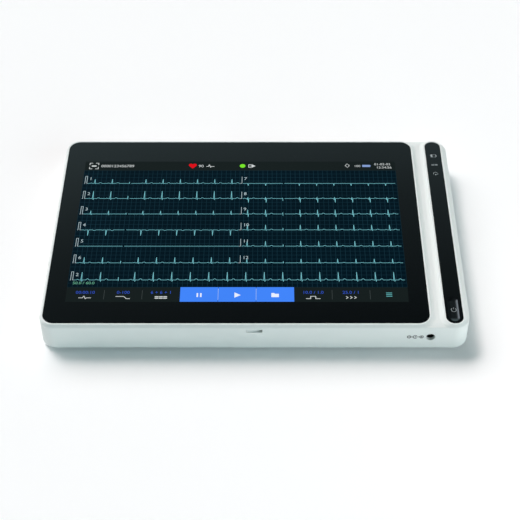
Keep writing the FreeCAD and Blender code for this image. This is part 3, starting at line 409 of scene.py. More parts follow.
def lit(name, levels, unevenness=0.08):
    material, tree, shader = start_finish(name)
    colour = linear(*levels)
    dim = [c * (1 - unevenness) for c in colour]
    effect = add(tree, "ShaderNodeGroup", node_tree=grain_group)
    grain, spread = effect.outputs["Height"], effect.outputs["Patch"]
    vary_colour(tree, spread, dim, colour, shader.inputs["Emission Color"])
    vary_colour(tree, grain, UNLIT_DARK, UNLIT_PALE, shader.inputs["Base Color"])
    shader.inputs["Emission Strength"].default_value = 1.0
    shader.inputs["Roughness"].default_value = SCREEN_ROUGH
    shader.inputs["Specular IOR Level"].default_value = SCREEN_SPECULAR
    return material


print("lit recipe ready")

# %% [markdown]
# ## Pen for plates
# A few pens draw everything on the screen, and each adds its mesh to a bmesh
# that collects one piece. `bar` lays a thin plate, from a cube that is scaled as
# it is made. A plate with a height below zero hangs under the sheet's level.

# %% Bar
LINE_HIGH = 0.03


def bar(shape, u0, v0, u1, v1, high=LINE_HIGH):
    x0, y1 = spot(u0, v0)
    x1, y0 = spot(u1, v1)
    middle = Vector(((x0 + x1) / 2, (y0 + y1) / 2, sheet["level"] + high * MM / 2))
    size = Matrix.Diagonal((x1 - x0, y1 - y0, abs(high) * MM, 1.0))
    bmesh.ops.create_cube(shape, size=1.0, matrix=Matrix.Translation(middle) @ size)


print("lines are", LINE_HIGH, "mm high")

# %% [markdown]
# ## Pen for ribbons
# `stroke` pulls a ribbon along points. Joining bars end to end would leave gaps
# at the corners, but a curve with a bevel runs round them. It is flattened as it
# becomes a mesh, which `take_in` does for every kind of curve.

# %% Stroke
def take_in(shape, curve, place):
    holder = bpy.data.objects.new("pen", curve)
    mesh = bpy.data.meshes.new_from_object(holder)
    mesh.transform(place)
    shape.from_mesh(mesh)
    bpy.data.objects.remove(holder)
    bpy.data.curves.remove(curve)
    bpy.data.meshes.remove(mesh)


def draw_line(points, closed):
    line = bpy.data.curves.new("pen", "CURVE")
    spline = line.splines.new("POLY")
    spline.points.add(len(points) - 1)
    spline.use_cyclic_u = closed
    for point, (u, v) in zip(spline.points, points):
        point.co = (*spot(u, v), 0.0, 1.0)
    return line


def stroke(shape, points, wide, high=LINE_HIGH, closed=False):
    line = draw_line(points, closed)
    line.dimensions = "3D"
    line.bevel_depth = wide * MM / 2
    line.bevel_resolution = 0
    line.use_fill_caps = True
    flat = Matrix.Diagonal((1.0, 1.0, high / wide, 1.0))
    take_in(shape, line, Matrix.Translation((0.0, 0.0, sheet["level"] + high * MM / 2)) @ flat)


print("stroke ready")

# %% [markdown]
# ## Pens for filled signs and numbers
# `patch` fills a closed outline, and `digits` sets plain numbers. Blender fills
# a flat curve and a text by itself, and gives both their thickness, so no faces
# are worked out here.

# %% Patch and digits
CAP_SHARE = 0.7
TEXT_STEPS = 3


def patch(shape, points, high=LINE_HIGH):
    line = draw_line(points, True)
    line.dimensions = "2D"
    line.fill_mode = "BOTH"
    line.extrude = high * MM / 2
    take_in(shape, line, Matrix.Translation((0.0, 0.0, sheet["level"] + high * MM / 2)))


def digits(shape, words, u, v, tall, align="CENTER"):
    text = bpy.data.curves.new("pen", "FONT")
    text.body = words
    text.size = tall * MM / CAP_SHARE
    text.extrude = LINE_HIGH * MM / 2
    text.align_x = align
    text.resolution_u = TEXT_STEPS
    x, y = spot(u, v)
    foot = (x, y - tall * MM / 2, sheet["level"] + LINE_HIGH * MM / 2)
    take_in(shape, text, Matrix.Translation(foot))


print("patch and digits ready")

# %% [markdown]
# ## From bmesh to a piece
# Each drawing becomes one object, which rides on a body of the CAD model and
# carries its own finish. Curves and texts arrive with their caps loose from
# their sides, so doubles are merged first and the faces are then turned
# outwards.

# %% Finish a piece
WELD = 0.0001 * MM


def finish_piece(shape, name, material, body="case"):
    bmesh.ops.remove_doubles(shape, verts=shape.verts[:], dist=WELD)
    bmesh.ops.recalc_face_normals(shape, faces=shape.faces[:])
    mesh = bpy.data.meshes.new(name)
    shape.to_mesh(mesh)
    shape.free()
    mesh.materials.append(material)
    piece = bpy.data.objects.new(name, mesh)
    bpy.context.scene.collection.objects.link(piece)
    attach(piece, body)
    print(name, len(mesh.polygons), "faces")


print("ready to draw")

# %% [markdown]
# ## Field and bars
# The picture's ground is three plates: the status bar, the field behind the
# grid and the bar that holds the touch keys. They are sunk by their own
# thickness, so that all the lines stand on one level.

# %% Field and bars
STATUS_TALL = 9.5
KEYS_TOP = 122.0
shape = bmesh.new()
bar(shape, 0.0, STATUS_TALL, SCREEN_WIDE, KEYS_TOP, -FIELD_THICK)
finish_piece(shape, "screen_field", lit("screen_field", (0, 20, 31), 0.15))
shape = bmesh.new()
bar(shape, 0.0, 0.0, SCREEN_WIDE, STATUS_TALL, -FIELD_THICK)
bar(shape, 0.0, KEYS_TOP, SCREEN_WIDE, SCREEN_TALL, -FIELD_THICK)
finish_piece(shape, "screen_bars", lit("screen_bars", (22, 30, 30)))

# %% [markdown]
# ## Grid
# Heart traces are read against a grid. A grid of faces, each shrunk a little by
# an inset, leaves exactly the lines between them once the shrunk faces are
# deleted, and solidify gives the lines their thickness. That is one connected
# net, where crossed bars would cut through each other.

# %% Grid
GRID_COLUMNS = 68
GRID_ROWS = 31
GRID_LINE = 0.28
GRID_THICK = 0.01
shape = bmesh.new()
middle = spot(SCREEN_WIDE / 2, (STATUS_TALL + KEYS_TOP) / 2)
size = (SCREEN_WIDE * MM / 2, (KEYS_TOP - STATUS_TALL) * MM / 2, 1.0, 1.0)
ground = Matrix.Translation((*middle, sheet["level"])) @ Matrix.Diagonal(size)
columns_rows = {"x_segments": GRID_COLUMNS, "y_segments": GRID_ROWS}
bmesh.ops.create_grid(shape, size=1.0, matrix=ground, **columns_rows)
cells = shape.faces[:]
half_line = GRID_LINE * MM / 2
bmesh.ops.inset_individual(shape, faces=cells, thickness=half_line, use_even_offset=True)
bmesh.ops.delete(shape, geom=cells, context="FACES")
bmesh.ops.solidify(shape, geom=shape.faces[:], thickness=-GRID_THICK * MM)
finish_piece(shape, "screen_grid", lit("screen_grid", (20, 52, 65), 0.3))

# %% [markdown]
# ## One heartbeat
# A heartbeat is a small round bump, a sharp spike with a dip on either side, and
# a second, wider bump. A function gives these points, with the heights that
# differ from lead to lead. A ribbon gets thin at a sharp corner, so `soften`
# gives each corner a near neighbour on both sides.

# %% Heartbeat
EARLY_AT, EARLY_WIDE, EARLY_SHARE = 2.3, 1.6, 0.5
LATE_AT, LATE_WIDE = 4.0, 2.2
DIP_BEFORE = 0.3
NEAR = 0.08
NEAR_SHARE = 0.3


def hump(u, wide, tall, steps=6):
    shares = [i / steps for i in range(steps + 1)]
    return [(u - wide / 2 + wide * s, -tall * math.sin(math.pi * s)) for s in shares]


def beat(u, spike, dip, swell):
    early = hump(u - EARLY_AT, EARLY_WIDE, swell * EARLY_SHARE)
    sharp = [(-0.55, 0.0), (-0.3, dip * DIP_BEFORE), (0.05, -spike), (0.45, dip), (0.7, 0.0)]
    return early + [(u + aside, v) for aside, v in sharp] + hump(u + LATE_AT, LATE_WIDE, swell)


def towards(here, other):
    long = math.dist(here, other)
    share = min(NEAR_SHARE, NEAR / long) if long else 0.0
    return tuple(h + (o - h) * share for h, o in zip(here, other))


def soften(points):
    made = [points[0]]
    for before, here, after in zip(points, points[1:], points[2:]):
        made += [towards(here, before), here, towards(here, after)]
    return made + [points[-1]]


print(len(beat(0.0, 4.0, 0.5, 0.7)), "points in a beat")

# %% [markdown]
# ## One row of a trace
# A trace strings beats together along a row. The sweep leaves a short blank just
# ahead of its newest stretch, so each trace is two ribbons with a gap between
# them, and the first one ends in a little tick. A beat that would not fit before
# the end of its ribbon is left out.

# %% One row of a trace
ROW_FIRST = 22.9
ROW_STEP = 15.45
TRACE_WIDE = 0.32
HALF_GAP = 0.7
ROOM_BEFORE, ROOM_AFTER = 3.2, 0.8
TICK_TOP, TICK_FOOT = 0.1, 0.25
TICK_UP, TICK_DOWN = 0.35, 0.6


def trace(shape, row, start, stop, beats, gap, spike, dip, swell):
    line = ROW_FIRST + ROW_STEP * row
    for first, last in ((start, gap - HALF_GAP), (gap + HALF_GAP, stop)):
        points = [(first, 0.0)]
        for at in beats:
            if first + ROOM_BEFORE < at < last - ROOM_AFTER:
                points += [p for p in beat(at, spike, dip, swell) if first < p[0] < last]
        points.append((last, 0.0))
        if first == start:
            points.append((last + TICK_TOP, -TICK_UP * max(spike, 0.0)))
            points.append((last + TICK_FOOT, TICK_DOWN * dip))
        stroke(shape, soften([(u, line + v) for u, v in points]), TRACE_WIDE)


print("rows every", ROW_STEP, "mm")

# %% [markdown]
# ## Twelve leads and a long row
# Six short rows lie left, six lie right, and the long rhythm row runs under both.
# Each lead sees the heart from another side, so each has a spike, a dip and a
# swell of its own, and a spike below zero points down.

# %% Traces
BEAT_STEP = 11.9
SHORT_ROWS = 6
LEFT_START, LEFT_STOP, LEFT_GAP = 3.6, 109.2, 32.9
RIGHT_START, RIGHT_STOP, RIGHT_GAP = 110.6, SCREEN_WIDE - 1.2, 138.6
LONG_GAP = 32.6
LONG_SHAPE = (7.0, 1.4, 1.1)
left_beats = [8.3, 20.3] + [43.5 + BEAT_STEP * i for i in range(6)]
right_beats = [114.2, 126.3] + [149.5 + BEAT_STEP * i for i in range(6)]
long_beats = [8.3, 20.3] + [42.3 + BEAT_STEP * i for i in range(15)]
left_shapes = [(4.2, 0.5, 0.7), (7.4, 1.3, 0.8), (3.1, 0.9, 0.1)]
left_shapes += [(-5.4, 0.0, -0.6), (0.0, 0.0, 0.0), (5.0, 0.8, 0.7)]
right_shapes = [(-2.4, 0.0, -0.2), (1.3, 4.0, 0.6), (4.2, 2.8, 0.8)]
right_shapes += [(4.8, 0.7, 0.7), (4.7, 0.5, 0.7), (3.6, 0.5, 0.4)]
shape = bmesh.new()
for row in range(SHORT_ROWS):
    trace(shape, row, LEFT_START, LEFT_STOP, left_beats, LEFT_GAP, *left_shapes[row])
    trace(shape, row, RIGHT_START, RIGHT_STOP, right_beats, RIGHT_GAP, *right_shapes[row])
trace(shape, SHORT_ROWS, LEFT_START, RIGHT_STOP, long_beats, LONG_GAP, *LONG_SHAPE)
finish_piece(shape, "screen_traces", lit("screen_traces", (124, 200, 210)))

# %% [markdown]
# ## Marks of the rows
# Each row opens with a white test pulse, which shows how tall one millivolt is,
# and a plain number for its lead. The right half opens with an upright step. The
# long row repeats the second lead, so it has that number.

# %% Row marks
MARK_WIDE = 0.34
PULSE = [(1.0, 0.0), (1.5, 0.0), (1.5, -7.4), (2.8, -7.4), (2.8, 0.0), (3.7, 0.0)]
STEP_UP = [(108.7, 0.0), (110.0, 0.0), (110.0, -6.8)]
LEAD_LEFT, LEAD_RIGHT = 4.3, 111.4
LEAD_UP = 4.9
LEAD_TALL = 2.8
LONG_LEAD = 2
shape = bmesh.new()
for row in range(SHORT_ROWS + 1):
    line = ROW_FIRST + ROW_STEP * row
    lead = row + 1 if row < SHORT_ROWS else LONG_LEAD
    stroke(shape, soften([(u, line + v) for u, v in PULSE]), MARK_WIDE)
    digits(shape, str(lead), LEAD_LEFT, line - LEAD_UP, LEAD_TALL, "LEFT")
    if row < SHORT_ROWS:
        stroke(shape, soften([(u, line + v) for u, v in STEP_UP]), MARK_WIDE)
        digits(shape, str(lead + SHORT_ROWS), LEAD_RIGHT, line - LEAD_UP, LEAD_TALL, "LEFT")
finish_piece(shape, "screen_row_marks", lit("screen_row_marks", (180, 200, 206)))

# %% [markdown]
# ## Status bar
# The bar on top holds a scan frame with a record number, the heart rate, a small
# beat, a plug sign, a sound sign and the date and time. All of it is plain
# numbers and common signs, in one soft white, so it is one piece.

# %% White signs of the status bar
STATUS_LINE = 0.5
STATUS_MIDDLE = 4.7
FRAME_LEFT, FRAME_RIGHT = 3.2, 9.3
FRAME_TOP, FRAME_LOW = 1.7, 7.7
FRAME_LEG = 2.0
SCAN_BAR = (4.6, 4.1, 7.9, 5.4)
SMALL_BEAT = [(84.8, 5.2), (86.2, 5.2), (86.9, 3.3), (87.7, 6.1), (88.3, 5.2), (90.4, 5.2)]
PLUG = [(116.3, 3.2), (114.5, 3.2), (114.5, 6.2), (116.3, 6.2)]
PLUG_STEM = (115.6, 4.35, 117.0, 5.05)
PLUG_TIP = [(116.5, 2.9), (119.2, 4.7), (116.5, 6.5)]
SOUND = [(183.4, 2.4), (184.9, 4.3), (183.4, 6.2), (181.9, 4.3)]
STATUS_NUMBERS = [
    ("0000123456789", 11.2, STATUS_MIDDLE, 2.5, "LEFT"),
    ("90", 79.3, STATUS_MIDDLE, 2.6, "LEFT"),
    ("100", 190.4, STATUS_MIDDLE, 2.1),
    ("01-02-03", 208.0, 2.8, 2.2),
    ("12:34:56", 209.0, 6.2, 2.2),
]
shape = bmesh.new()
for u, side in ((FRAME_LEFT, 1), (FRAME_RIGHT, -1)):
    for v, turn in ((FRAME_TOP, 1), (FRAME_LOW, -1)):
        corner = [(u + side * FRAME_LEG, v), (u, v), (u, v + turn * FRAME_LEG)]
        stroke(shape, soften(corner), STATUS_LINE)
bar(shape, *SCAN_BAR)
stroke(shape, soften(SMALL_BEAT), STATUS_LINE)
stroke(shape, soften(PLUG), STATUS_LINE)
patch(shape, PLUG_TIP)
bar(shape, *PLUG_STEM)
stroke(shape, SOUND, STATUS_LINE, closed=True)
for number in STATUS_NUMBERS:
    digits(shape, *number)
finish_piece(shape, "screen_status_signs", lit("screen_status_signs", (208, 214, 214)))

# %% [markdown]
# ## Heart sign
# A red heart stands before the heart rate. Two round lobes meet in a notch and
# run down to a point, so its outline is two arcs and that point, which `patch`
# fills. `arc` gives points on a circle, and the marks further on use it too.

# %% Heart
def arc(u, v, radius, first, last, steps=16):
    turns = [math.radians(first + (last - first) * i / steps) for i in range(steps + 1)]
    return [(u + radius * math.cos(a), v - radius * math.sin(a)) for a in turns]


HEART_U = 75.3
HEART_POINT = 7.4
LOBE_V = 3.75
LOBE_R = 1.5
LOBE_OUT = 1.3
LOBE_END = 215
notch = math.degrees(math.acos(LOBE_OUT / LOBE_R))
left_lobe = arc(HEART_U - LOBE_OUT, LOBE_V, LOBE_R, LOBE_END, notch)
right_lobe = arc(HEART_U + LOBE_OUT, LOBE_V, LOBE_R, 180 - notch, 180 - LOBE_END)
shape = bmesh.new()
patch(shape, left_lobe + right_lobe[1:] + [(HEART_U, HEART_POINT)])
finish_piece(shape, "screen_heart", lit("screen_heart", (224, 12, 24)))

# %% [markdown]
# ## Lamp, battery and mains number
# A green lamp says that the leads are on, a blue battery shows the charge, and a
# green pair of numbers under the grid tells the mains filter. The lamp is a
# round plate, so it starts as a cone with two equal ends.

# %% Lamp, battery and mains number
LAMP_AT = (110.15, 4.6)
LAMP_R = 1.95
LAMP_SIDES = 32
CHARGE_CASE = (193.9, 3.5, 199.3, 5.7)
CHARGE_NUB = (199.3, 4.1, 199.8, 5.1)
MAINS_NUMBER = ("50.0 / 60.0", 3.1, 118.2, 2.3, "LEFT")
shape = bmesh.new()
lamp_at = Matrix.Translation((*spot(*LAMP_AT), sheet["level"] + LINE_HIGH * MM / 2))
round_plate = {"radius1": LAMP_R * MM, "radius2": LAMP_R * MM, "depth": LINE_HIGH * MM}
bmesh.ops.create_cone(shape, cap_ends=True, segments=LAMP_SIDES, matrix=lamp_at, **round_plate)
finish_piece(shape, "screen_lamp", lit("screen_lamp", (122, 232, 42)))
shape = bmesh.new()
bar(shape, *CHARGE_CASE)
bar(shape, *CHARGE_NUB)
finish_piece(shape, "screen_battery", lit("screen_battery", (136, 162, 214)))
shape = bmesh.new()
digits(shape, *MAINS_NUMBER)
finish_piece(shape, "screen_mains_number", lit("screen_mains_number", (106, 178, 146)))

# %% [markdown]
# ## Touch keys
# Nine keys share the bottom bar. The three in the middle are bright blue plates
# with pale lines in the gaps between them. Thin grey lines part the others, which
# lie on the bar itself.

# %% Keys
KEY_COUNT = 9
KEY_WIDE = SCREEN_WIDE / KEY_COUNT
KEY_HIGH = 0.01
KEY_FOOT = 0.15
BLUE_FIRST, BLUE_LAST = 3, 5
HALF_LINE, LINE_TOP, LINE_FOOT = 0.12, 2.6, 2.2
HALF_PARTING, PARTING_TOP, PARTING_FOOT = 0.15, 1.2, 1.6


def upright(shape, cell, half, top, foot):
    u = cell * KEY_WIDE
    bar(shape, u - half, KEYS_TOP + top, u + half, SCREEN_TALL - foot)


shape = bmesh.new()
for cell in range(BLUE_FIRST, BLUE_LAST + 1):
    u0 = cell * KEY_WIDE + (HALF_LINE if cell > BLUE_FIRST else 0.0)
    u1 = (cell + 1) * KEY_WIDE - (HALF_LINE if cell < BLUE_LAST else 0.0)
    bar(shape, u0, KEYS_TOP, u1, SCREEN_TALL - KEY_FOOT, KEY_HIGH)
finish_piece(shape, "screen_blue_keys", lit("screen_blue_keys", (66, 134, 252), 0.05))
shape = bmesh.new()
for cell in (1, 2, 7, 8):
    upright(shape, cell, HALF_LINE, LINE_TOP, LINE_FOOT)
finish_piece(shape, "screen_key_lines", lit("screen_key_lines", (70, 78, 78)))
shape = bmesh.new()
for cell in (4, 5):
    upright(shape, cell, HALF_PARTING, PARTING_TOP, PARTING_FOOT)
finish_piece(shape, "screen_key_gaps", lit("screen_key_gaps", (170, 196, 240)))

# %% [markdown]
# ## Signs of the blue keys
# The blue keys hold, run and store a recording. Two bars, a triangle and a
# folder say so in any language. Each sign is written about its own middle, and
# `on_key` moves it to its key and its row.

# %% Signs of the blue keys
BLUE_ROW = 128.9
HOLD_OUT = 1.1
HOLD = [(-0.5, -1.7), (0.5, 1.7)]
PLAY = [(-1.7, -2.3), (-1.7, 2.3), (2.3, 0.0)]
FOLDER = [(-2.4, -1.8), (-0.6, -1.8), (-0.1, -1.1), (2.4, -1.1), (2.4, 1.8), (-2.4, 1.8)]


def on_key(cell, row, points, aside=0.0):
    middle = (cell + 0.5) * KEY_WIDE + aside
    return [(middle + u, row + v) for u, v in points]


def block(shape, corners):
    (u0, v0), (u1, v1) = corners
    bar(shape, u0, v0, u1, v1)


shape = bmesh.new()
for side in (-HOLD_OUT, HOLD_OUT):
    block(shape, on_key(3, BLUE_ROW, HOLD, side))
patch(shape, on_key(4, BLUE_ROW, PLAY))
patch(shape, on_key(5, BLUE_ROW, FOLDER))
finish_piece(shape, "screen_blue_key_signs", lit("screen_blue_key_signs", (236, 242, 255), 0.04))

# %% [markdown]
# ## Signs of the other keys
# The other keys hold settings, and each has a white sign: a beat, a falling step,
# two rows of cells, a pulse and three arrows. Lines are strokes, and the cells
# are bars, so these signs need no pens of their own.

# %% Signs of the other keys
SIGN_ROW = 131.0
SIGN_WIDE = 0.5
BEAT_SIGN = [(-4.0, 0.3), (-1.5, 0.3), (-0.6, -1.3), (0.5, 1.2), (1.2, 0.3), (4.0, 0.3)]
FALL_SIGN = [(-4.6, -0.9), (0.6, -0.9), (2.2, 1.0), (4.6, 1.0)]
PULSE_SIGN = [(-4.6, 1.0), (-1.6, 1.0), (-1.6, -1.0), (1.6, -1.0), (1.6, 1.0), (4.6, 1.0)]
ARROW = [(-0.7, -1.0), (0.6, 0.0), (-0.7, 1.0)]
ARROW_STEP = 2.6
CELL = [(-1.2, -0.42), (1.2, 0.42)]
CELL_STEP = 2.7
CELL_OUT = 0.65
shape = bmesh.new()
for cell, points in ((0, BEAT_SIGN), (1, FALL_SIGN), (6, PULSE_SIGN)):
    stroke(shape, soften(on_key(cell, SIGN_ROW, points)), SIGN_WIDE)
for step in (-1, 0, 1):
    stroke(shape, soften(on_key(7, SIGN_ROW, ARROW, step * ARROW_STEP)), SIGN_WIDE)
    for row in (SIGN_ROW - CELL_OUT, SIGN_ROW + CELL_OUT):
        block(shape, on_key(2, row, CELL, step * CELL_STEP))
finish_piece(shape, "screen_key_signs", lit("screen_key_signs", (205, 210, 210)))

# %% [markdown]
# ## Values and list sign
# Over the white signs stand values, which are plain numbers in the blue of the
# keys, but dimmer. Three short green bars on the last key are the usual sign for
# a list.

# %% Values and list sign
VALUE_ROW = 126.5
VALUE_TALL = 2.5
LIST_ROW = 128.5
LIST_STEP = 1.45
LIST_BAR = [(-1.9, -0.32), (1.9, 0.32)]
key_values = {0: "00:00:10", 1: "0-100", 2: "6 + 6 + 1", 6: "10.0 / 1.0", 7: "25.0 / 1"}
shape = bmesh.new()
for cell, value in key_values.items():
    digits(shape, value, (cell + 0.5) * KEY_WIDE, VALUE_ROW, VALUE_TALL)
finish_piece(shape, "screen_key_values", lit("screen_key_values", (50, 84, 196)))
shape = bmesh.new()
for step in (-1, 0, 1):
    block(shape, on_key(8, LIST_ROW + step * LIST_STEP, LIST_BAR))
finish_piece(shape, "screen_list_sign", lit("screen_list_sign", (92, 168, 170)))

# %% [markdown]
# ## Marks on the strip
# Three small signs near the strip's far end stand over the indicator lights: a
# battery, a row of level bars and a gauge. On the real strip they are printed in
# pale ink, so they take a matte finish and are only hundredths of a millimetre
# high. The screen's pens are used again, on a sheet that starts at the first sign.

# %% Strip signs
SIGN_FIRST = 14.8
SIGN_STEP = 9.65
SIGN_LINE = 0.36
BATTERY = [(-1.9, -1.2), (1.6, -1.2), (1.6, 1.2), (-1.9, 1.2), (-1.9, -1.2), (-1.7, -1.2)]
BATTERY_TIP = (1.6, -0.6, 2.2, 0.6)
BATTERY_FILL = (-1.8, -1.1, -0.75, 1.1)
LEVEL_LEFTS = (-2.0, -0.9, 0.2, 1.3)
LEVEL_WIDE = 0.6
GAUGE_BACK = 0.3
GAUGE_R = 1.5
GAUGE_TURNS = (-40, 220)
STEM_HALF, STEM_TOP, STEM_FOOT = 0.35, 0.45, 1.4
PALE_INK = (0.36, 0.4, 0.41)
strip_low, strip_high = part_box("side_strip")
lay_sheet((strip_low.x + strip_high.x) / 2, strip_high.y - SIGN_FIRST * MM, strip_high.z)
shape = bmesh.new()
stroke(shape, soften(BATTERY), SIGN_LINE)
bar(shape, *BATTERY_TIP)
bar(shape, *BATTERY_FILL)
for u in LEVEL_LEFTS:
    bar(shape, u, SIGN_STEP - LEVEL_WIDE, u + LEVEL_WIDE, SIGN_STEP + LEVEL_WIDE)
gauge_v = 2 * SIGN_STEP - GAUGE_BACK
stroke(shape, arc(0.0, gauge_v, GAUGE_R, *GAUGE_TURNS), SIGN_LINE)
bar(shape, -STEM_HALF, gauge_v + STEM_TOP, STEM_HALF, gauge_v + STEM_FOOT)
finish_piece(shape, "strip_signs", moulded("pale_ink", PALE_INK, 0.55, bump=0.1))

# %% [markdown]
# ## Power ring on the button
# The button carries the common power sign, an open ring with a short bar. Its
# top is a shallow dish, so a flat sign would float over the middle. Each point
# of the sign looks straight down onto the CAD button instead, and takes the
# height that it finds there.

# %% Power ring
RING_R = 1.6
RING_LINE = 0.36
RING_TURNS = (125, 415)
RING_BAR = [(0.0, -2.0), (0.0, -0.5)]
RING_FROM_FRONT = 10.8
DOWN = Vector((0.0, 0.0, -1.0))
button_low, button_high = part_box("power_button")
lay_sheet((button_low.x + button_high.x) / 2, button_low.y + RING_FROM_FRONT * MM, button_high.z)
shape = bmesh.new()
stroke(shape, arc(0.0, 0.0, RING_R, *RING_TURNS), RING_LINE)
stroke(shape, RING_BAR, RING_LINE)
bpy.context.view_layer.update()
for point in shape.verts:
    start = Vector((point.co.x, point.co.y, button_high.z + MM))
    where = nodes["power_button"].ray_cast(start, DOWN)[1]
    point.co.z += where.z - sheet["level"]
ring_ink = moulded("ring_ink", PALE_INK, 0.5, bump=0.1)
finish_piece(shape, "power_ring", ring_ink, "button")

# %% [markdown]
# ## Polarity sign beside the power socket
# The common sign for a plug with its plus inside is printed on the front wall,
# left of the socket: two small circles joined to a middle one. It is drawn flat
# like the others, and a quarter turn then stands it up against the wall.

# %% Polarity sign
INK_HIGH = 0.02
INK_LINE = 0.52
SIGN_LEFT = 9.5
SIGN_UP = 0.25
END_U = 3.9
END_R = 1.1
ARM = 0.5
MIDDLE_R = 1.35
MIDDLE_TURNS = (50, 310)
DOT_R, DOT_LINE, DOT_STEPS = 0.3, 0.4, 8


def ink(shape, points, wide=INK_LINE, closed=False):
    stroke(shape, points, wide, INK_HIGH, closed)


pin_low, pin_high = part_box("power_jack_pin")
wall_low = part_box("bottom_housing")[0]
lay_sheet(0.0, 0.0, 0.0)
shape = bmesh.new()
for u in (-END_U, END_U):
    ink(shape, arc(u, 0.0, END_R, 0, 360)[:-1], closed=True)
    ink(shape, [(u - ARM, 0.0), (u + ARM, 0.0)])
ink(shape, [(END_U, -ARM), (END_U, ARM)])
ink(shape, arc(0.0, 0.0, MIDDLE_R, *MIDDLE_TURNS))
ink(shape, [(END_R - END_U, 0.0), (-MIDDLE_R, 0.0)])
ink(shape, [(0.0, 0.0), (END_U - END_R, 0.0)])
ink(shape, arc(0.0, 0.0, DOT_R, 0, 360, DOT_STEPS)[:-1], DOT_LINE, closed=True)
sign_x = (pin_low.x + pin_high.x) / 2 - SIGN_LEFT * MM
sign_z = (pin_low.z + pin_high.z) / 2 + SIGN_UP * MM
stand_at = Matrix.Translation((sign_x, wall_low.y, sign_z))
stand = stand_at @ Matrix.Rotation(math.radians(90), 4, "X")
bmesh.ops.transform(shape, matrix=stand, verts=shape.verts[:])
dark_ink = moulded("sign_ink", (0.03, 0.035, 0.04), 0.6)
finish_piece(shape, "polarity_sign", dark_ink)

# %% [markdown]
# ## Floor
# The machine lies on plain white paper that runs on to the horizon. A single
# face does, as the paper is flat. It only gets the same lamps as the machine, so
# the background comes out white by the paper's own colour, and the shadow stays.

# %% Floor
FLOOR_HALF = 30.0
PAPER_WHITE = (0.998, 0.998, 0.998)
floor_mesh = bpy.data.meshes.new("studio_floor")
shape = bmesh.new()
bmesh.ops.create_grid(shape, x_segments=1, y_segments=1, size=FLOOR_HALF)
shape.to_mesh(floor_mesh)
shape.free()
paper = moulded("floor_paper", PAPER_WHITE, 0.9, bump=0.0, shade=0.998, specular=0.0)
floor_mesh.materials.append(paper)
floor = bpy.data.objects.new("studio_floor", floor_mesh)
bpy.context.scene.collection.objects.link(floor)
print("floor", 2 * FLOOR_HALF, "m wide")

# %% [markdown]
# ## Studio walls
# Polished glass shows what stands around it, so the studio matters more than the
# glass. The walls are painted into the world. In front they give some light close
# to the floor, which fills the front wall of the case, and are dark above. Behind
# and to the left they stay half bright until well over halfway up, so the far end
# of the glass lightens and its near end is black. A dot product with a direction
# tells how far a ray looks up or back, and ramps turn that into cool light.

# %% Steps of the world
WALL_TINT = (0.72, 1.0, 1.05)


def along(tree, look, direction):
    share = add(tree, "ShaderNodeVectorMath", operation="DOT_PRODUCT")
    share.inputs[1].default_value = direction
    join(tree, look, share.inputs[0])
    return share.outputs["Value"]


def soft_step(tree, value, low, high):
    step = add(tree, "ShaderNodeMapRange", interpolation_type="SMOOTHSTEP")
    step.inputs["From Min"].default_value = low
    step.inputs["From Max"].default_value = high
    join(tree, value, step.inputs["Value"])
    return step.outputs["Result"]


def wall_levels(tree, height, levels):
    ramp = add(tree, "ShaderNodeValToRGB")
    stops = ramp.color_ramp.elements
    while len(stops) < len(levels):
        stops.new(0.5)
    for stop, (at, level) in zip(stops, levels):
        stop.position = at
        stop.color = (*[part * level for part in WALL_TINT], 1.0)
    join(tree, height, ramp.inputs["Fac"])
    return ramp.outputs["Color"]


print("steps of the world ready")

# %% [markdown]
# ## Paint the walls
# Each wall is a list of heights and levels. The two are mixed by how far a ray
# looks back, and the height leans a little to the right, so that the bright part
# behind ends lower there.

# %% Studio walls
FRONT_WALL = [(0.0, 0.4), (0.08, 0.4), (0.2, 0.02), (0.75, 0.02), (1.0, 0.05)]
BACK_WALL = [(0.0, 0.55), (0.1, 0.55), (0.18, 0.5), (0.55, 0.58)]
BACK_WALL += [(0.62, 0.53), (0.68, 0.2), (0.75, 0.05), (0.9, 0.12)]
UPWARDS = (0.1, 0.0, 1.0)
BACKWARDS = (-0.7, 0.714, 0.0)
BACK_STARTS, BACK_FULL = 0.05, 0.45
world = bpy.data.worlds.new("studio")
bpy.context.scene.world = world
world.use_nodes = True
studio = world.node_tree
look = add(studio, "ShaderNodeTexCoord").outputs["Generated"]
height = along(studio, look, UPWARDS)
behind = soft_step(studio, along(studio, look, BACKWARDS), BACK_STARTS, BACK_FULL)
walls = add(studio, "ShaderNodeMix", data_type="RGBA")
join(studio, behind, walls.inputs["Factor"])
join(studio, wall_levels(studio, height, FRONT_WALL), walls.inputs["A"])
join(studio, wall_levels(studio, height, BACK_WALL), walls.inputs["B"])
print("studio walls painted")

# %% [markdown]
# ## Softbox behind the left shoulder
# The dish of the power button catches one bright streak along its right side.
# That is the mirror image of a small softbox, far left and behind. It is a round
# patch of the world with a soft edge. Seen from the camera it lies just left of
# all that the flat glass mirrors, so there only the dish shows it.

# %% Softbox
SOFTBOX_AT = Vector((-0.43, 0.67, 0.61)).normalized()
SOFTBOX_EDGE = math.cos(math.radians(16))
SOFTBOX_CORE = math.cos(math.radians(4))
SOFTBOX_LIGHT = (2.1, 2.4, 2.65, 1.0)
softbox = add(studio, "ShaderNodeMix", data_type="RGBA")
softbox.inputs["B"].default_value = SOFTBOX_LIGHT
inside = soft_step(studio, along(studio, look, SOFTBOX_AT), SOFTBOX_EDGE, SOFTBOX_CORE)
join(studio, inside, softbox.inputs["Factor"])
join(studio, walls.outputs["Result"], softbox.inputs["A"])
join(studio, softbox.outputs["Result"], studio.nodes["Background"].inputs["Color"])
print("softbox towards", [round(v, 2) for v in SOFTBOX_AT])

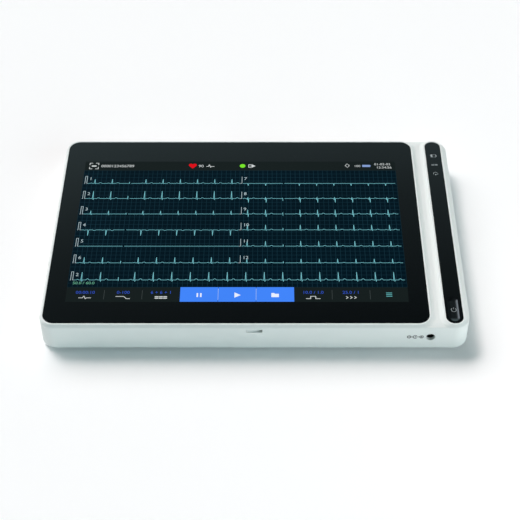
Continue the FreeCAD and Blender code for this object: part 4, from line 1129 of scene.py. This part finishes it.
# %% [markdown]
# ## Lamps
# The key is a long softbox, above and behind the machine. Two wide suns stand for
# its near and its far end, so the shadow in front comes out broad and the one at
# the right narrow. A third sun brightens what faces left. A low cool one and a
# small lamp close by light the front right corner, where the wall is brightest.
# None of them shows in the glass, which mirrors only the painted walls.

# %% Lamps
WARM = (1.0, 0.92, 0.905)
COOL = (0.71, 0.955, 1.0)


def add_lamp(name, kind, energy, colour, heading, **settings):
    light = bpy.data.lights.new(name, kind)
    light.energy = energy
    light.color = colour
    for setting, value in settings.items():
        setattr(light, setting, value)
    lamp = bpy.data.objects.new(name, light)
    lamp.rotation_euler = Vector(heading).to_track_quat("-Z", "Y").to_euler()
    lamp.visible_glossy = False
    lamp.visible_camera = False
    bpy.context.scene.collection.objects.link(lamp)
    print("lamp", name, energy)
    return lamp


add_lamp("key_near", "SUN", 1.44, WARM, (0.404, -0.488, -1.0), angle=math.radians(20))
add_lamp("key_far", "SUN", 0.64, WARM, (0.213, -0.966, -1.0), angle=math.radians(24))
add_lamp("left_fill", "SUN", 0.96, WARM, (0.62, -0.45, -0.65), angle=math.radians(40))
add_lamp("right_fill", "SUN", 1.62, COOL, (-0.7, 0.7, -0.2), angle=math.radians(60))
corner_fill = add_lamp("corner_fill", "AREA", 0.13, WARM, (-0.17, 0.13, -0.035), size=0.12)
corner_fill.location = (0.30, -0.22, 0.05)

# %% [markdown]
# ## Camera
# The picture is taken from in front and above, with a long lens. The camera stands
# a little right of the middle. A lens shift then sets where the machine lies in
# the frame and keeps its edges level, where turning the camera would tilt them.

# %% Camera
SENSOR_WIDE = 36.0
LENS = 91.44
LENS_SHIFT = -0.0192
NEAREST = 0.01
CAMERA_AT = (0.00975, -0.63769, 0.63201)
CAMERA_TILT = math.radians(44.864)
camera_data = bpy.data.cameras.new("camera")
camera_data.sensor_width = SENSOR_WIDE
camera_data.lens = LENS
camera_data.shift_x = LENS_SHIFT
camera_data.clip_start = NEAREST
camera = bpy.data.objects.new("camera", camera_data)
camera.location = CAMERA_AT
camera.rotation_euler = (CAMERA_TILT, 0.0, 0.0)
bpy.context.scene.collection.objects.link(camera)
bpy.context.scene.camera = camera
bpy.context.scene.view_settings.view_transform = "Standard"
print("camera", LENS, "mm")
